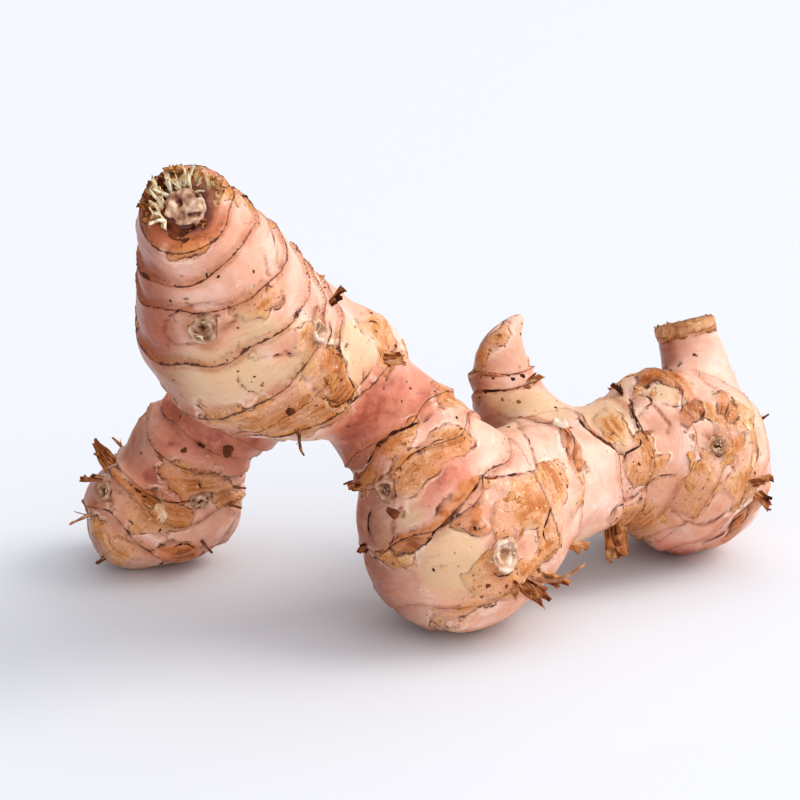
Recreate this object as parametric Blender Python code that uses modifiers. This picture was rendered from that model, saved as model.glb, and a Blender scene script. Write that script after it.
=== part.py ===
"""A fresh galangal rhizome: one branching piece of ginger-like root that lies on three of its lobes.

Lengths are in millimetres until a mesh is made. +X runs along the rhizome, -Y is near and +Z is up.
The origin is under the middle of the piece, on the surface that it lies on.
"""

import math

import bmesh
import bpy
import numpy as np
from mathutils import Matrix, Vector

MM = 0.001
NAME = "Galangal root"

# Lobes: balls (x, y, z, radius) along each centre line, from where the lobe grows to its tip
LOBES = {
    "upper": (
        (-10.5, -5.0, 42.5, 6.5),
        (-17.0, -10.5, 50.2, 10.4),
        (-26.8, -16.5, 56.2, 15.2),
        (-35.8, -23.5, 62.8, 17.2),
        (-38.0, -28.5, 72.8, 14.2),
        (-40.4, -34.0, 82.0, 10.8),
        (-41.8, -38.5, 86.8, 8.3),
    ),
    "front": (
        (-12.5, -4.0, 43.5, 6.8),
        (-7.9, -6.0, 39.0, 10.2),
        (-1.5, -8.5, 31.0, 14.7),
        (2.1, -9.5, 23.5, 17.1),
        (4.3, -9.0, 16.9, 17.6),
    ),
    "right": (
        (8.5, -5.0, 19.5, 12.0),
        (14.1, -1.5, 21.0, 15.0),
        (22.9, 6.0, 22.6, 12.2),
        (31.9, 14.0, 23.2, 11.8),
        (42.4, 21.0, 23.4, 14.3),
        (47.0, 24.0, 22.8, 17.0),
        (52.8, 27.0, 19.8, 17.8),
    ),
    "foot": ((53.5, 30.0, 16.5, 13.0), (54.0, 34.0, 12.6, 13.0)),
    "collar": ((-12.6, -9.0, 52.2, 4.5), (-11.3, -7.0, 55.4, 3.0)),
    "bud": (
        (22.2, 18.0, 24.8, 9.2),
        (20.2, 22.0, 29.4, 7.8),
        (14.3, 26.0, 36.7, 7.0),
        (14.1, 27.0, 42.4, 5.5),
        (14.3, 27.5, 45.1, 4.5),
        (15.7, 28.0, 47.7, 3.0),
        (17.9, 28.0, 51.0, 1.0),
    ),
    "stub": (
        (58.0, 33.0, 22.9, 9.6),
        (57.0, 39.0, 33.7, 6.7),
        (54.1, 42.0, 44.1, 6.1),
        (53.0, 42.5, 50.0, 6.1),
    ),
    "lower": (
        (-15.7, -1.5, 44.0, 6.4),
        (-25.6, 6.5, 44.0, 8.2),
        (-36.9, 13.5, 38.0, 9.6),
        (-45.6, 18.5, 30.1, 9.6),
        (-51.4, 22.0, 22.0, 12.9),
        (-52.2, 22.5, 13.0, 12.9),
        (-59.4, 21.5, 12.0, 12.9),
    ),
}

# Leaf scars: distance along the lobe, and the rise across x and across z, which tilt the ring
SCARS = {
    "upper": (
        (17, -4, -12),
        (28, 0, -3),
        (36, -1, 0),
        (46, 0.5, 0),
        (55, 1, -2),
        (62.5, 2, -1),
        (70, -0.5, 0),
    ),
    "front": ((7, 0, 0), (12.5, 0, 0), (22.5, -3, -2), (36.5, 0, 0), (45, 2, 0)),
    "right": (
        (16, -2, 4.5),
        (27.5, 0, 0),
        (35.5, -1, 1.5),
        (42.5, 0, 2),
        (49.5, 2, 1.5),
        (56, 3, 0.5),
        (63, 0, 2),
    ),
    "bud": ((15, -1.5, 0), (20, -1, 0)),
    "stub": ((24.5, 0, 0),),
    "foot": ((90, 0, 0),),
    "collar": ((90, 0, 0),),
    "lower": (
        (22, 0, 0),
        (30, 0, 2),
        (37.5, -1, 2),
        (43.5, 0, 2),
        (55.5, -6, 10),
        (63, -8, 8),
        (69.5, -9, 6),
    ),
}
SCAR_LIP = 0.4
SCAR_STEP = 1.3
SCAR_WIDTH = 0.9
SCAR_FADE = 2.5
SCAR_RISE = 2.6
SCAR_RECOVERY = 3.4

# Root scars: a point near the skin and the radius of the raised rim, round a sunken middle
ROOT_SCARS = (
    (-39.7, -42.5, 68.8, 2.4),
    (-20.0, -32.6, 65.9, 1.9),
    (-9.6, -22.3, 32.4, 2.0),
    (12.8, -24.8, 20.6, 2.7),
    (24.9, 4.8, 36.0, 1.5),
    (-66.7, 12.4, 19.4, 1.8),
    (-45.5, 7.8, 17.5, 2.0),
    (57.5, 11.4, 29.4, 1.6),
    (-30.5, -8.5, 74.0, 2.2),
    (-55.5, 33.0, 18.0, 2.2),
    (56.5, 44.5, 22.0, 2.4),
    (32.5, 26.5, 22.0, 1.9),
    (-9.5, 7.5, 38.0, 1.8),
)
RIM_HEIGHT = 0.7
RIM_WIDTH = 0.8
MIDDLE_DEPTH = 0.4
MIDDLE_WIDTH = 0.7

# The stem scar on the upper lobe's tip: a rough round knob
KNOB_CENTRE = (-41.8, -38.5, 87.0)
KNOB_AXIS = (-0.03, -0.86, 0.50)
KNOB_RADIUS = 5.0
KNOB_STAND = 3.6
KNOB_TOP = 0.6
KNOB_SQUASH = 0.8
KNOB_ROUGHNESS = 0.22

# The hollow that the knob sits in, and the low wall round it
HOLLOW_RADIUS = 5.6
HOLLOW_DEPTH = 2.4
WALL_RADIUS = 6.6
WALL_HEIGHT = 0.6
WALL_WIDTH = 1.0

# The stem stub is cut across, and the cut looks up, back and a little left
CUT_CENTRE = (53.8, 42.2, 46.0)
CUT_FACING = (-0.23, 0.28, 0.93)
CUTTER_SIZE = 30.0

# Papery rags of old leaf sheath: a point near the skin, the heading, and the length, width and lift
RAGS = (
    ((-66.1, 18.1, 23.1), (-0.8, 0.2, 0.9), 7.0, 3.6, 0.5),
    ((-66.9, 16.8, 20.8), (-1.0, -0.5, 0.0), 4.5, 2.4, 0.6),
    ((-17.4, -25.8, 68.5), (0.3, 0.2, 1.0), 3.6, 2.2, 0.8),
    ((-8.0, -17.0, 57.3), (0.6, 0.3, -0.9), 4.5, 3.6, 0.5),
    ((15.5, -22.6, 14.7), (0.9, -0.2, -0.8), 6.5, 2.6, 0.7),
    ((18.0, -19.1, 11.5), (1.0, -0.4, -0.5), 5.0, 2.4, 0.6),
    ((20.0, -17.3, 12.4), (1.0, 0.0, -0.3), 6.0, 2.0, 0.7),
    ((13.5, -24.5, 16.5), (0.5, -0.3, -1.0), 5.5, 2.4, 0.4),
    ((26.6, -9.0, 14.7), (0.8, -0.2, 0.6), 4.0, 2.0, 0.7),
    ((36.0, 8.0, 16.0), (0.0, -0.35, -1.0), 6.6, 6.0, 0.9),
    ((38.4, 8.0, 15.2), (-0.15, -0.35, -1.0), 6.2, 5.5, 0.9),
    ((65.4, 13.2, 19.5), (0.7, -0.2, 0.6), 4.5, 4.0, 0.6),
    ((68.0, 16.5, 17.0), (0.5, -0.3, -0.8), 4.0, 3.4, 0.5),
    ((38.8, 22.2, 37.9), (-0.3, 0.2, 1.0), 2.6, 2.2, 0.8),
    ((19.5, 20.6, 40.1), (0.9, -0.2, 0.4), 3.0, 2.0, 0.8),
    ((-13.6, -18.4, 20.0), (-0.6, 0.0, -0.8), 2.6, 2.6, 0.6),
    ((-14.7, -17.6, 30.6), (-0.8, 0.0, 0.2), 2.2, 2.4, 0.8),
    ((-47.5, 31.5, 30.0), (-0.4, 0.5, 0.9), 5.0, 3.0, 0.5),
    ((-23.5, -6.5, 68.0), (0.2, 0.9, 0.6), 5.0, 3.4, 0.5),
    ((58.5, 43.5, 12.0), (0.3, 0.8, -0.6), 5.0, 3.6, 0.4),
    ((38.5, 33.5, 30.0), (0.8, 0.4, 0.5), 5.0, 3.4, 0.4),
)
RAG_THICKNESS = 0.8
RAG_ROOT = 1.8
RAG_BEND = 1.6
RAG_CUP = 0.2
RAG_TAPER = 0.7
RAG_TEAR = 0.4
RAG_TEAR_SIDE = 0.2

# Rootlets: a point near the skin, where the rootlet heads, its length and its radius where it leaves
ROOTLETS = (
    ((-70.0, 13.4, 13.6), (-0.8, -0.4, -0.6), 4.0, 0.5),
    ((-66.7, 12.9, 4.6), (-0.8, -0.5, -0.2), 2.6, 0.7),
    ((-39.3, 13.0, 19.2), (1.0, -0.2, 0.1), 3.2, 0.5),
    ((-40.4, 12.8, 15.6), (1.0, -0.3, -0.1), 3.0, 0.5),
    ((-45.8, 11.2, 7.2), (0.7, -0.5, -0.5), 2.6, 0.5),
    ((-24.7, -28.6, 46.2), (0.1, -0.1, -1.0), 4.6, 0.45),
    ((18.6, -19.0, 13.6), (0.76, 0.25, 0.55), 10.2, 0.6),
    ((-13.5, -2.5, 27.0), (-0.9, 0.2, -0.4), 3.0, 0.5),
    ((-63.5, 29.5, 20.0), (-0.7, 0.7, 0.3), 5.0, 0.55),
    ((64.5, 35.5, 24.0), (0.8, 0.5, 0.4), 4.0, 0.5),
    ((28.5, 25.5, 15.0), (-0.2, 0.8, -0.6), 6.0, 0.6),
    ((6.5, 7.5, 18.0), (0.1, 0.9, -0.5), 5.0, 0.6),
    ((46.5, 39.5, 10.0), (-0.3, 0.8, -0.5), 4.0, 0.6),
)
ROOTLET_ROOT = 1.5
ROOTLET_TIP = 0.5
ROOTLET_POINTS = 5
ROOTLET_BEND = 1.5
ROOTLET_DROOP = 0.6
ROOTLET_SWEEP = 0.8

# Frayed fibres in a ring round the knob and round the cut stub, and how many there are
KNOB_FRINGE = {"count": 13, "radius": 5.6, "length": 2.3, "width": 2.0}
STUB_FRINGE = {"count": 11, "radius": 5.4, "length": 1.8, "width": 2.0}
KNOB_FRINGE_STAND = 5.4
FRINGE_LIFT = 0.15
FRINGE_SHIFT = 0.2
FRINGE_OUTWARD = (-0.3, 0.4)
FRINGE_ASIDE = (-0.6, 0.6)
FRINGE_LENGTHS = (0.5, 1.5)
FRINGE_WIDTHS = (0.7, 1.3)
FRINGE_SEED = 11

# How softly balls of one lobe, and then the lobes, run into each other
ALONG = 1.0
MERGE = 2.4
BALL_STEP = 1.5

# Lumps of the skin and the wobble of its rings: height, longest wave, how many waves, and the draw
LUMPS = (0.55, 26.0, 7, 5)
WOBBLE = (0.7, 17.0, 4, 3)
WAVE_SHORTER = 0.82
WAVE_LOWER = 0.9

# Fineness of the merged mesh and of the finished body
VOXEL = 0.9
BODY_TRIANGLES = 7400
PULLS = 5
LONGEST_PULL = 2.0

# The lowest lobes dip a little under the origin, and the floor cuts a small flat on each
FLOOR_SIZE = 200.0
SHARP_ANGLE = 50

SKIN_COLOUR = (0.72, 0.42, 0.31, 1)
SKIN_ROUGHNESS = 0.45


def smooth_run(points, step):
    """A Catmull-Rom curve through the points, read about every step."""
    points = np.array(points, float)
    before = 2 * points[0] - points[1]
    after = 2 * points[-1] - points[-2]
    knots = np.vstack([before, points, after])
    runs = []
    for a, b, c, d in zip(knots, knots[1:], knots[2:], knots[3:]):
        count = max(2, round(np.linalg.norm(c[:3] - b[:3]) / step))
        t = (np.arange(count) / count)[:, None]
        bend = 2 * a - 5 * b + 4 * c - d
        twist = 3 * b - a - 3 * c + d
        runs.append(0.5 * (2 * b + (c - a) * t + bend * t**2 + twist * t**3))
    return np.vstack(runs + [points[-1:]])


class Lobe:
    """Balls along one centre line. Their soft minimum is the distance to the lobe's skin."""

    def __init__(self, balls, scars):
        run = smooth_run(balls, BALL_STEP)
        self.centres = run[:, :3]
        self.radii = run[:, 3]
        steps = np.linalg.norm(np.diff(self.centres, axis=0), axis=1)
        self.along = np.concatenate([[0], np.cumsum(steps)])
        self.tangents = np.gradient(self.centres, self.along, axis=0)
        self.tangents /= np.linalg.norm(self.tangents, axis=1)[:, None]
        # Neighbouring balls add up, so each counts for its share of a straight tube
        self.shares = np.gradient(self.along) / np.sqrt(2 * math.pi * self.radii * ALONG)
        self.shares[[0, -1]] = 1
        self.scars = np.array(scars, float)

    def read(self, points):
        """The distance to the skin and its gradient, the distance along the lobe and its direction."""
        away = points[:, None] - self.centres
        length = np.linalg.norm(away, axis=2)
        gap = length - self.radii
        nearest = gap.min(axis=1, keepdims=True)
        weight = self.shares * np.exp((nearest - gap) / ALONG)
        total = weight.sum(axis=1, keepdims=True)
        distance = nearest[:, 0] - ALONG * np.log(total[:, 0])
        weight /= total
        gradient = (weight[:, :, None] * away / length[:, :, None]).sum(axis=1)
        reach = self.along + (away * self.tangents).sum(axis=2)
        return distance, gradient, (weight * reach).sum(axis=1), weight @ self.tangents


def read_skin(lobes, points):
    """The distance to the whole skin and its gradient, and what each lobe reads."""
    found = [lobe.read(points) for lobe in lobes]
    distances = np.stack([lobe[0] for lobe in found], axis=1)
    nearest = distances.min(axis=1, keepdims=True)
    shares = np.exp((nearest - distances) / MERGE)
    total = shares.sum(axis=1, keepdims=True)
    distance = nearest[:, 0] - MERGE * np.log(total[:, 0])
    gradient = sum(share[:, None] * lobe[1] for share, lobe in zip((shares / total).T, found))
    return distance, gradient, found


def pull_to_skin(lobes, points):
    """Moves points on to the skin by Newton's method, and returns them with the outward normals."""
    for _ in range(PULLS):
        distance, gradient, _ = read_skin(lobes, points)
        steepness = (gradient**2).sum(axis=1, keepdims=True)
        pull = np.clip(distance[:, None] / steepness, -LONGEST_PULL, LONGEST_PULL)
        points = points - pull * gradient
    gradient = read_skin(lobes, points)[1]
    return points, gradient / np.linalg.norm(gradient, axis=1)[:, None]


def unit(vector):
    vector = np.array(vector, float)
    return vector / np.linalg.norm(vector)


def waves(points, height, longest, count, seed):
    """A sum of sine waves in drawn directions, each shorter and lower than the last."""
    draw = np.random.default_rng(seed)
    total = np.zeros(len(points))
    for i in range(count):
        direction = unit(draw.normal(size=3))
        length = longest * WAVE_SHORTER**i
        phase = draw.uniform(0, 2 * math.pi)
        total += WAVE_LOWER**i * np.sin(2 * math.pi * points @ direction / length + phase)
    return height * total / math.sqrt(count / 2)


def past_scars(lobes, points, normals):
    """For each leaf scar, how far past it points lie, the lobe's direction and its share of them."""
    wobble = waves(points, *WOBBLE)
    _, _, found = read_skin(lobes, points)
    for i, lobe in enumerate(lobes):
        distance, _, reach, direction = found[i]
        rival = np.min([other[0] for j, other in enumerate(found) if j != i], axis=0)
        owned = np.clip((rival - distance) / SCAR_FADE, 0, 1)
        for along, rise_x, rise_z in lobe.scars:
            ring = along + rise_x * normals[:, 0] + rise_z * normals[:, 2] + wobble
            yield reach - ring, direction, owned


def snap_to_scars(lobes, points, normals):
    """Slides the points beside each leaf scar along the lobe, to its lip or to the foot of its step."""
    slide = np.zeros(points.shape)
    for past, direction, owned in past_scars(lobes, points, normals):
        for line in (0, SCAR_WIDTH):
            near = (np.abs(past - line) < SCAR_WIDTH / 2) & (owned > 0)
            slide[near] = (direction * (line - past)[:, None])[near]
    return pull_to_skin(lobes, points + slide)


def leaf_scars(lobes, points, normals):
    """Rings round each lobe: a slow rise to a lip, a step down towards the tip and a slow recovery."""
    height = np.zeros(len(points))
    for past, _, owned in past_scars(lobes, points, normals):
        fall = np.clip(past / SCAR_WIDTH, 0, 1) * np.exp(-np.clip(past, 0, None) / SCAR_RECOVERY)
        height += owned * (SCAR_LIP * np.exp(-np.abs(past) / SCAR_RISE) - SCAR_STEP * fall)
    return height


def root_scars(points):
    """A raised ring and a dip in its middle, where each root broke off."""
    height = np.zeros(len(points))
    for x, y, z, radius in ROOT_SCARS:
        gap = np.linalg.norm(points - (x, y, z), axis=1)
        height += RIM_HEIGHT * np.exp(-(((gap - radius) / RIM_WIDTH) ** 2))
        height -= MIDDLE_DEPTH * np.exp(-((gap / radius / MIDDLE_WIDTH) ** 2))
    return height


def stem_hollow(points):
    """A shallow round hollow with a low wall at the tip of the upper lobe, where its stem came away."""
    away = points - KNOB_CENTRE
    along = away @ unit(KNOB_AXIS)
    gap = np.sqrt(np.clip((away**2).sum(axis=1) - along**2, 0, None))
    height = WALL_HEIGHT * np.exp(-(((gap - WALL_RADIUS) / WALL_WIDTH) ** 2))
    height -= HOLLOW_DEPTH * np.exp(-((gap / HOLLOW_RADIUS) ** 4))
    return np.where(along > 0, height, 0)


def mesh_object(name, mesh, collection):
    made = bpy.data.objects.new(name, mesh)
    collection.objects.link(made)
    return made


def applied(made):
    """Replaces the object's mesh with the one that its modifiers give."""
    graph = bpy.context.evaluated_depsgraph_get()
    mesh = bpy.data.meshes.new_from_object(made.evaluated_get(graph))
    made.modifiers.clear()
    old = made.data
    made.data = mesh
    bpy.data.meshes.remove(old)


def make_body(lobes, collection):
    """Balls along every lobe, merged by a voxel remesh and drawn on to the blended skin with its relief."""
    balls = bmesh.new()
    for lobe in lobes:
        for centre, radius in zip(lobe.centres[::2], lobe.radii[::2]):
            place = Matrix.Translation(Vector(centre * MM))
            bmesh.ops.create_icosphere(balls, subdivisions=3, radius=radius * MM, matrix=place)
    mesh = bpy.data.meshes.new("rhizome")
    balls.to_mesh(mesh)
    balls.free()
    body = mesh_object("rhizome", mesh, collection)
    remesh = body.modifiers.new("Merge the balls", "REMESH")
    remesh.mode = "VOXEL"
    remesh.voxel_size = VOXEL * MM
    applied(body)

    points = np.empty(len(body.data.vertices) * 3)
    body.data.vertices.foreach_get("co", points)
    points, normals = pull_to_skin(lobes, points.reshape(-1, 3) / MM)
    points, normals = snap_to_scars(lobes, points, normals)
    height = waves(points, *LUMPS) + root_scars(points) + stem_hollow(points)
    height += leaf_scars(lobes, points, normals)
    points = (points + height[:, None] * normals) * MM
    body.data.vertices.foreach_set("co", points.ravel())
    body.data.update()

    triangles = sum(len(face.vertices) - 2 for face in body.data.polygons)
    decimate = body.modifiers.new("Fewer faces", "DECIMATE")
    decimate.ratio = BODY_TRIANGLES / triangles
    applied(body)
    return body


def on_skin(lobes, place):
    """The nearest point of the skin and its outward normal."""
    points, normals = pull_to_skin(lobes, np.array([place], float))
    return points[0], normals[0]


def make_rag(collection, root, normal, heading, length, width, lift, segments=3):
    """A thin curled blade: a grid bent up from the skin, narrowing to a torn tip, with its thickness."""
    across = unit(np.cross(heading, normal))
    forward = np.cross(normal, across)
    sheet = bmesh.new()
    bmesh.ops.create_grid(sheet, x_segments=2, y_segments=segments, size=1.0)
    for vertex in sheet.verts:
        side, t = vertex.co.x, (vertex.co.y + 1) / 2
        out = lift * length * t**RAG_BEND - RAG_ROOT * (1 - t) ** 2
        out += RAG_CUP * width * side**2
        wide = side * width / 2 * (1 - RAG_TAPER * t**RAG_BEND)
        reach = length * t * (1 - RAG_TEAR * t * abs(side - RAG_TEAR_SIDE))
        vertex.co = Vector((root + forward * reach + across * wide + normal * out) * MM)
    bmesh.ops.recalc_face_normals(sheet, faces=sheet.faces)
    mesh = bpy.data.meshes.new("rag")
    sheet.to_mesh(mesh)
    sheet.free()
    rag = mesh_object("rag", mesh, collection)
    wall = rag.modifiers.new("Thickness", "SOLIDIFY")
    wall.thickness = RAG_THICKNESS * MM
    wall.offset = 0
    applied(rag)


def make_rootlet(collection, root, normal, heading, length, radius):
    """A thin tapering tube that leaves the skin along its normal and bends to its heading."""
    curve = bpy.data.curves.new("rootlet", "CURVE")
    curve.dimensions = "3D"
    curve.bevel_depth = radius * MM
    curve.bevel_resolution = 0
    curve.use_fill_caps = True
    spline = curve.splines.new("POLY")
    steps = np.linspace(-ROOTLET_ROOT / length, 1, ROOTLET_POINTS)
    spline.points.add(len(steps) - 1)
    for point, t in zip(spline.points, steps):
        bend = max(t, 0) ** ROOTLET_BEND
        away = normal * t * (1 - ROOTLET_DROOP * bend) + heading * bend * ROOTLET_SWEEP
        place = root + length * away
        point.co = (*(place * MM), 1)
        point.radius = 1 - (1 - ROOTLET_TIP) * max(t, 0)
    tube = bpy.data.objects.new("rootlet", curve)
    collection.objects.link(tube)
    graph = bpy.context.evaluated_depsgraph_get()
    mesh = bpy.data.meshes.new_from_object(tube.evaluated_get(graph))
    bpy.data.objects.remove(tube)
    welded = bmesh.new()
    welded.from_mesh(mesh)
    bmesh.ops.remove_doubles(welded, verts=welded.verts, dist=0.01 * MM)
    bmesh.ops.recalc_face_normals(welded, faces=welded.faces)
    welded.to_mesh(mesh)
    welded.free()
    mesh_object("rootlet", mesh, collection)


def make_knob(collection):
    """The stem scar: a ball sunk in the upper lobe's tip, its top flattened and roughened."""
    turn = Vector((0, 0, 1)).rotation_difference(Vector(KNOB_AXIS)).to_matrix().to_4x4()
    centre = Vector(np.array(KNOB_CENTRE) + unit(KNOB_AXIS) * KNOB_STAND)
    ball = bmesh.new()
    bmesh.ops.create_icosphere(ball, subdivisions=2, radius=KNOB_RADIUS)
    draw = np.random.default_rng(FRINGE_SEED)
    for vertex in ball.verts:
        over = max(vertex.co.z - KNOB_TOP * KNOB_RADIUS, 0)
        vertex.co.z -= KNOB_SQUASH * over
        vertex.co += Vector(draw.normal(size=3)) * KNOB_ROUGHNESS
    ball.transform(Matrix.Scale(MM, 4) @ Matrix.Translation(centre) @ turn)
    mesh = bpy.data.meshes.new("knob")
    ball.to_mesh(mesh)
    ball.free()
    mesh_object("knob", mesh, collection)


def make_fringe(collection, centre, axis, count, radius, length, width):
    """Frayed fibres in a ring round an axis, each with its own drawn length and lean."""
    draw = np.random.default_rng(FRINGE_SEED)
    side = unit(np.cross(axis, (1, 0, 0)))
    other = np.cross(axis, side)
    for turn in np.linspace(0, 2 * math.pi, count, endpoint=False):
        turn += draw.uniform(-FRINGE_SHIFT, FRINGE_SHIFT)
        outward = side * math.cos(turn) + other * math.sin(turn)
        across = np.cross(axis, outward)
        heading = axis + outward * draw.uniform(*FRINGE_OUTWARD) + across * draw.uniform(*FRINGE_ASIDE)
        root = centre + outward * radius
        long = length * draw.uniform(*FRINGE_LENGTHS)
        wide = width * draw.uniform(*FRINGE_WIDTHS)
        make_rag(collection, root, outward, unit(heading), long, wide, FRINGE_LIFT, segments=2)


def cut_away(body, cutter):
    """Takes the cutter's shape out of the body, and removes the cutter."""
    cutter.hide_render = True
    cutter.display_type = "WIRE"
    cut = body.modifiers.new("Cut", "BOOLEAN")
    cut.operation = "DIFFERENCE"
    cut.object = cutter
    applied(body)
    bpy.data.objects.remove(cutter)


def box_cutter(name, centre, size, facing, collection):
    """A box that stands on a point, in the direction that it faces."""
    box = bmesh.new()
    turn = Vector((0, 0, 1)).rotation_difference(Vector(facing)).to_matrix().to_4x4()
    place = Matrix.Translation(Vector(centre) * MM) @ turn @ Matrix.Translation((0, 0, size / 2 * MM))
    bmesh.ops.create_cube(box, size=size * MM, matrix=place)
    mesh = bpy.data.meshes.new(name)
    box.to_mesh(mesh)
    box.free()
    return mesh_object(name, mesh, collection)


def fuse_repeats(body, lobes):
    """Joins the knob, rags, rootlets and fringes to the body in one union."""
    repeats = bpy.data.collections.new("Repeats")
    bpy.context.scene.collection.children.link(repeats)
    make_knob(repeats)
    for place, heading, length, width, lift in RAGS:
        root, normal = on_skin(lobes, place)
        make_rag(repeats, root, normal, unit(heading), length, width, lift)
    for place, heading, length, radius in ROOTLETS:
        root, normal = on_skin(lobes, place)
        make_rootlet(repeats, root, normal, unit(heading), length, radius)
    axis = unit(KNOB_AXIS)
    make_fringe(repeats, np.array(KNOB_CENTRE) + axis * KNOB_FRINGE_STAND, axis, **KNOB_FRINGE)
    axis = unit(CUT_FACING)
    make_fringe(repeats, np.array(CUT_CENTRE) - axis, axis, **STUB_FRINGE)
    union = body.modifiers.new("Fuse the repeats", "BOOLEAN")
    union.operation = "UNION"
    union.operand_type = "COLLECTION"
    union.collection = repeats
    union.solver = "MANIFOLD"
    applied(body)
    for made in list(repeats.objects):
        bpy.data.objects.remove(made)
    bpy.data.collections.remove(repeats)


def drop_slivers(body):
    """Splits the faces into triangles, and drops the flat slivers that a union leaves on an edge."""
    mesh = bmesh.new()
    mesh.from_mesh(body.data)
    bmesh.ops.triangulate(mesh, faces=mesh.faces)
    mesh.faces.ensure_lookup_table()
    group_of = {}
    groups = []
    for start in mesh.faces:
        if start in group_of:
            continue
        group = [start]
        group_of[start] = len(groups)
        for face in group:
            for edge in face.edges:
                if len(edge.link_faces) != 2:
                    continue
                for other in edge.link_faces:
                    if other not in group_of:
                        group_of[other] = len(groups)
                        group.append(other)
        groups.append(group)
    groups.sort(key=len)
    slivers = [face for group in groups[:-1] for face in group]
    bmesh.ops.delete(mesh, geom=slivers, context="FACES")
    mesh.to_mesh(body.data)
    mesh.free()


def skin_material():
    skin = bpy.data.materials.new("Fresh galangal skin")
    skin.use_nodes = True
    shader = skin.node_tree.nodes["Principled BSDF"]
    shader.inputs["Base Color"].default_value = SKIN_COLOUR
    shader.inputs["Roughness"].default_value = SKIN_ROUGHNESS
    return skin


def main():
    for old in list(bpy.data.objects):
        bpy.data.objects.remove(old)
    collection = bpy.data.collections.new(NAME)
    bpy.context.scene.collection.children.link(collection)
    lobes = [Lobe(balls, SCARS[name]) for name, balls in LOBES.items()]
    body = make_body(lobes, collection)
    cut_away(body, box_cutter("stub cutter", CUT_CENTRE, CUTTER_SIZE, CUT_FACING, collection))
    fuse_repeats(body, lobes)
    floor = box_cutter("floor cutter", (0, 0, -FLOOR_SIZE), FLOOR_SIZE, (0, 0, 1), collection)
    cut_away(body, floor)
    drop_slivers(body)
    body.data.materials.append(skin_material())
    body.data.shade_smooth()
    body.data.set_sharp_from_angle(angle=math.radians(SHARP_ANGLE))


main()
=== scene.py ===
"""The looks of a fresh galangal rhizome, laid out as an add-on and run as a script.

Tables hold millimetres in the rhizome's own frame: +X along it, -Y its near side, +Z up. Marks that the
photograph shows are placed by pixels of its 800 x 800 frame, and cast on to the skin from its camera.
"""

import math

import bmesh
import bpy
import numpy as np
from bpy.props import FloatProperty, FloatVectorProperty, PointerProperty
from bpy.types import Operator, Panel, PropertyGroup
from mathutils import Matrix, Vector


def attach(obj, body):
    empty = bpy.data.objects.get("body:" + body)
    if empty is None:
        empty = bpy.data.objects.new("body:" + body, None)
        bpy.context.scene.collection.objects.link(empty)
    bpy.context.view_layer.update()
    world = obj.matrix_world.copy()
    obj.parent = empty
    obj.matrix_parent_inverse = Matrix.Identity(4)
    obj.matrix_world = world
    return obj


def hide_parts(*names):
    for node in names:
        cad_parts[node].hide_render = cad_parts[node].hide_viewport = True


bl_info = {
    "name": "Fresh galangal rhizome",
    "version": (1, 0, 0),
    "blender": (4, 5, 0),
    "location": "3D View > Sidebar > Galangal",
    "description": "Wet skin, leaf scars, papery sheath scraps and rootlets of a galangal rhizome",
    "category": "Object",
}

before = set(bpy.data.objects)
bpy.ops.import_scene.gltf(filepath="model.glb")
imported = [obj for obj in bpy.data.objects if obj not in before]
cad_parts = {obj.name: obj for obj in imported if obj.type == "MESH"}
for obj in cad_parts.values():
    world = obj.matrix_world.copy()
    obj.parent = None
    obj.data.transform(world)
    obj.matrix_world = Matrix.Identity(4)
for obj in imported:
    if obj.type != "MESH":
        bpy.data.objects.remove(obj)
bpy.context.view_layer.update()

MM = 0.001
BODY = "root"
NODE = "rhizome"

# The photograph's camera
PHOTO_SIDE = 800
LENS = 90.0
SENSOR = 36.0
AIM = (-6.5, 14.0, 38.0)
CAMERA_DISTANCE = 400.0
LOOK_DOWN = 18.0

# Lobes: balls (x, y, z, radius) along each centre line, from where the lobe grows to its tip
LOBES = {
    "upper": (
        (-10.5, -5.0, 42.5, 6.5),
        (-17.0, -10.5, 50.2, 10.4),
        (-26.8, -16.5, 56.2, 15.2),
        (-35.8, -23.5, 62.8, 17.2),
        (-38.0, -28.5, 72.8, 14.2),
        (-40.4, -34.0, 82.0, 10.8),
        (-41.8, -38.5, 86.8, 8.3),
    ),
    "front": (
        (-12.5, -4.0, 43.5, 6.8),
        (-7.9, -6.0, 39.0, 10.2),
        (-1.5, -8.5, 31.0, 14.7),
        (2.1, -9.5, 23.5, 17.1),
        (4.3, -9.0, 16.9, 17.6),
    ),
    "right": (
        (8.5, -5.0, 19.5, 12.0),
        (14.1, -1.5, 21.0, 15.0),
        (22.9, 6.0, 22.6, 12.2),
        (31.9, 14.0, 23.2, 11.8),
        (42.4, 21.0, 23.4, 14.3),
        (47.0, 24.0, 22.8, 17.0),
        (52.8, 27.0, 19.8, 17.8),
    ),
    "foot": ((53.5, 30.0, 16.5, 13.0), (54.0, 34.0, 12.6, 13.0)),
    "collar": ((-12.6, -9.0, 52.2, 4.5), (-11.3, -7.0, 55.4, 3.0)),
    "bud": (
        (22.2, 18.0, 24.8, 9.2),
        (20.2, 22.0, 29.4, 7.8),
        (14.3, 26.0, 36.7, 7.0),
        (14.1, 27.0, 42.4, 5.5),
        (14.3, 27.5, 45.1, 4.5),
        (15.7, 28.0, 47.7, 3.0),
        (17.9, 28.0, 51.0, 1.0),
    ),
    "stub": (
        (58.0, 33.0, 22.9, 9.6),
        (57.0, 39.0, 33.7, 6.7),
        (54.1, 42.0, 44.1, 6.1),
        (53.0, 42.5, 50.0, 6.1),
    ),
    "lower": (
        (-15.7, -1.5, 44.0, 6.4),
        (-25.6, 6.5, 44.0, 8.2),
        (-36.9, 13.5, 38.0, 9.6),
        (-45.6, 18.5, 30.1, 9.6),
        (-51.4, 22.0, 22.0, 12.9),
        (-52.2, 22.5, 13.0, 12.9),
        (-59.4, 21.5, 12.0, 12.9),
    ),
}

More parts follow.
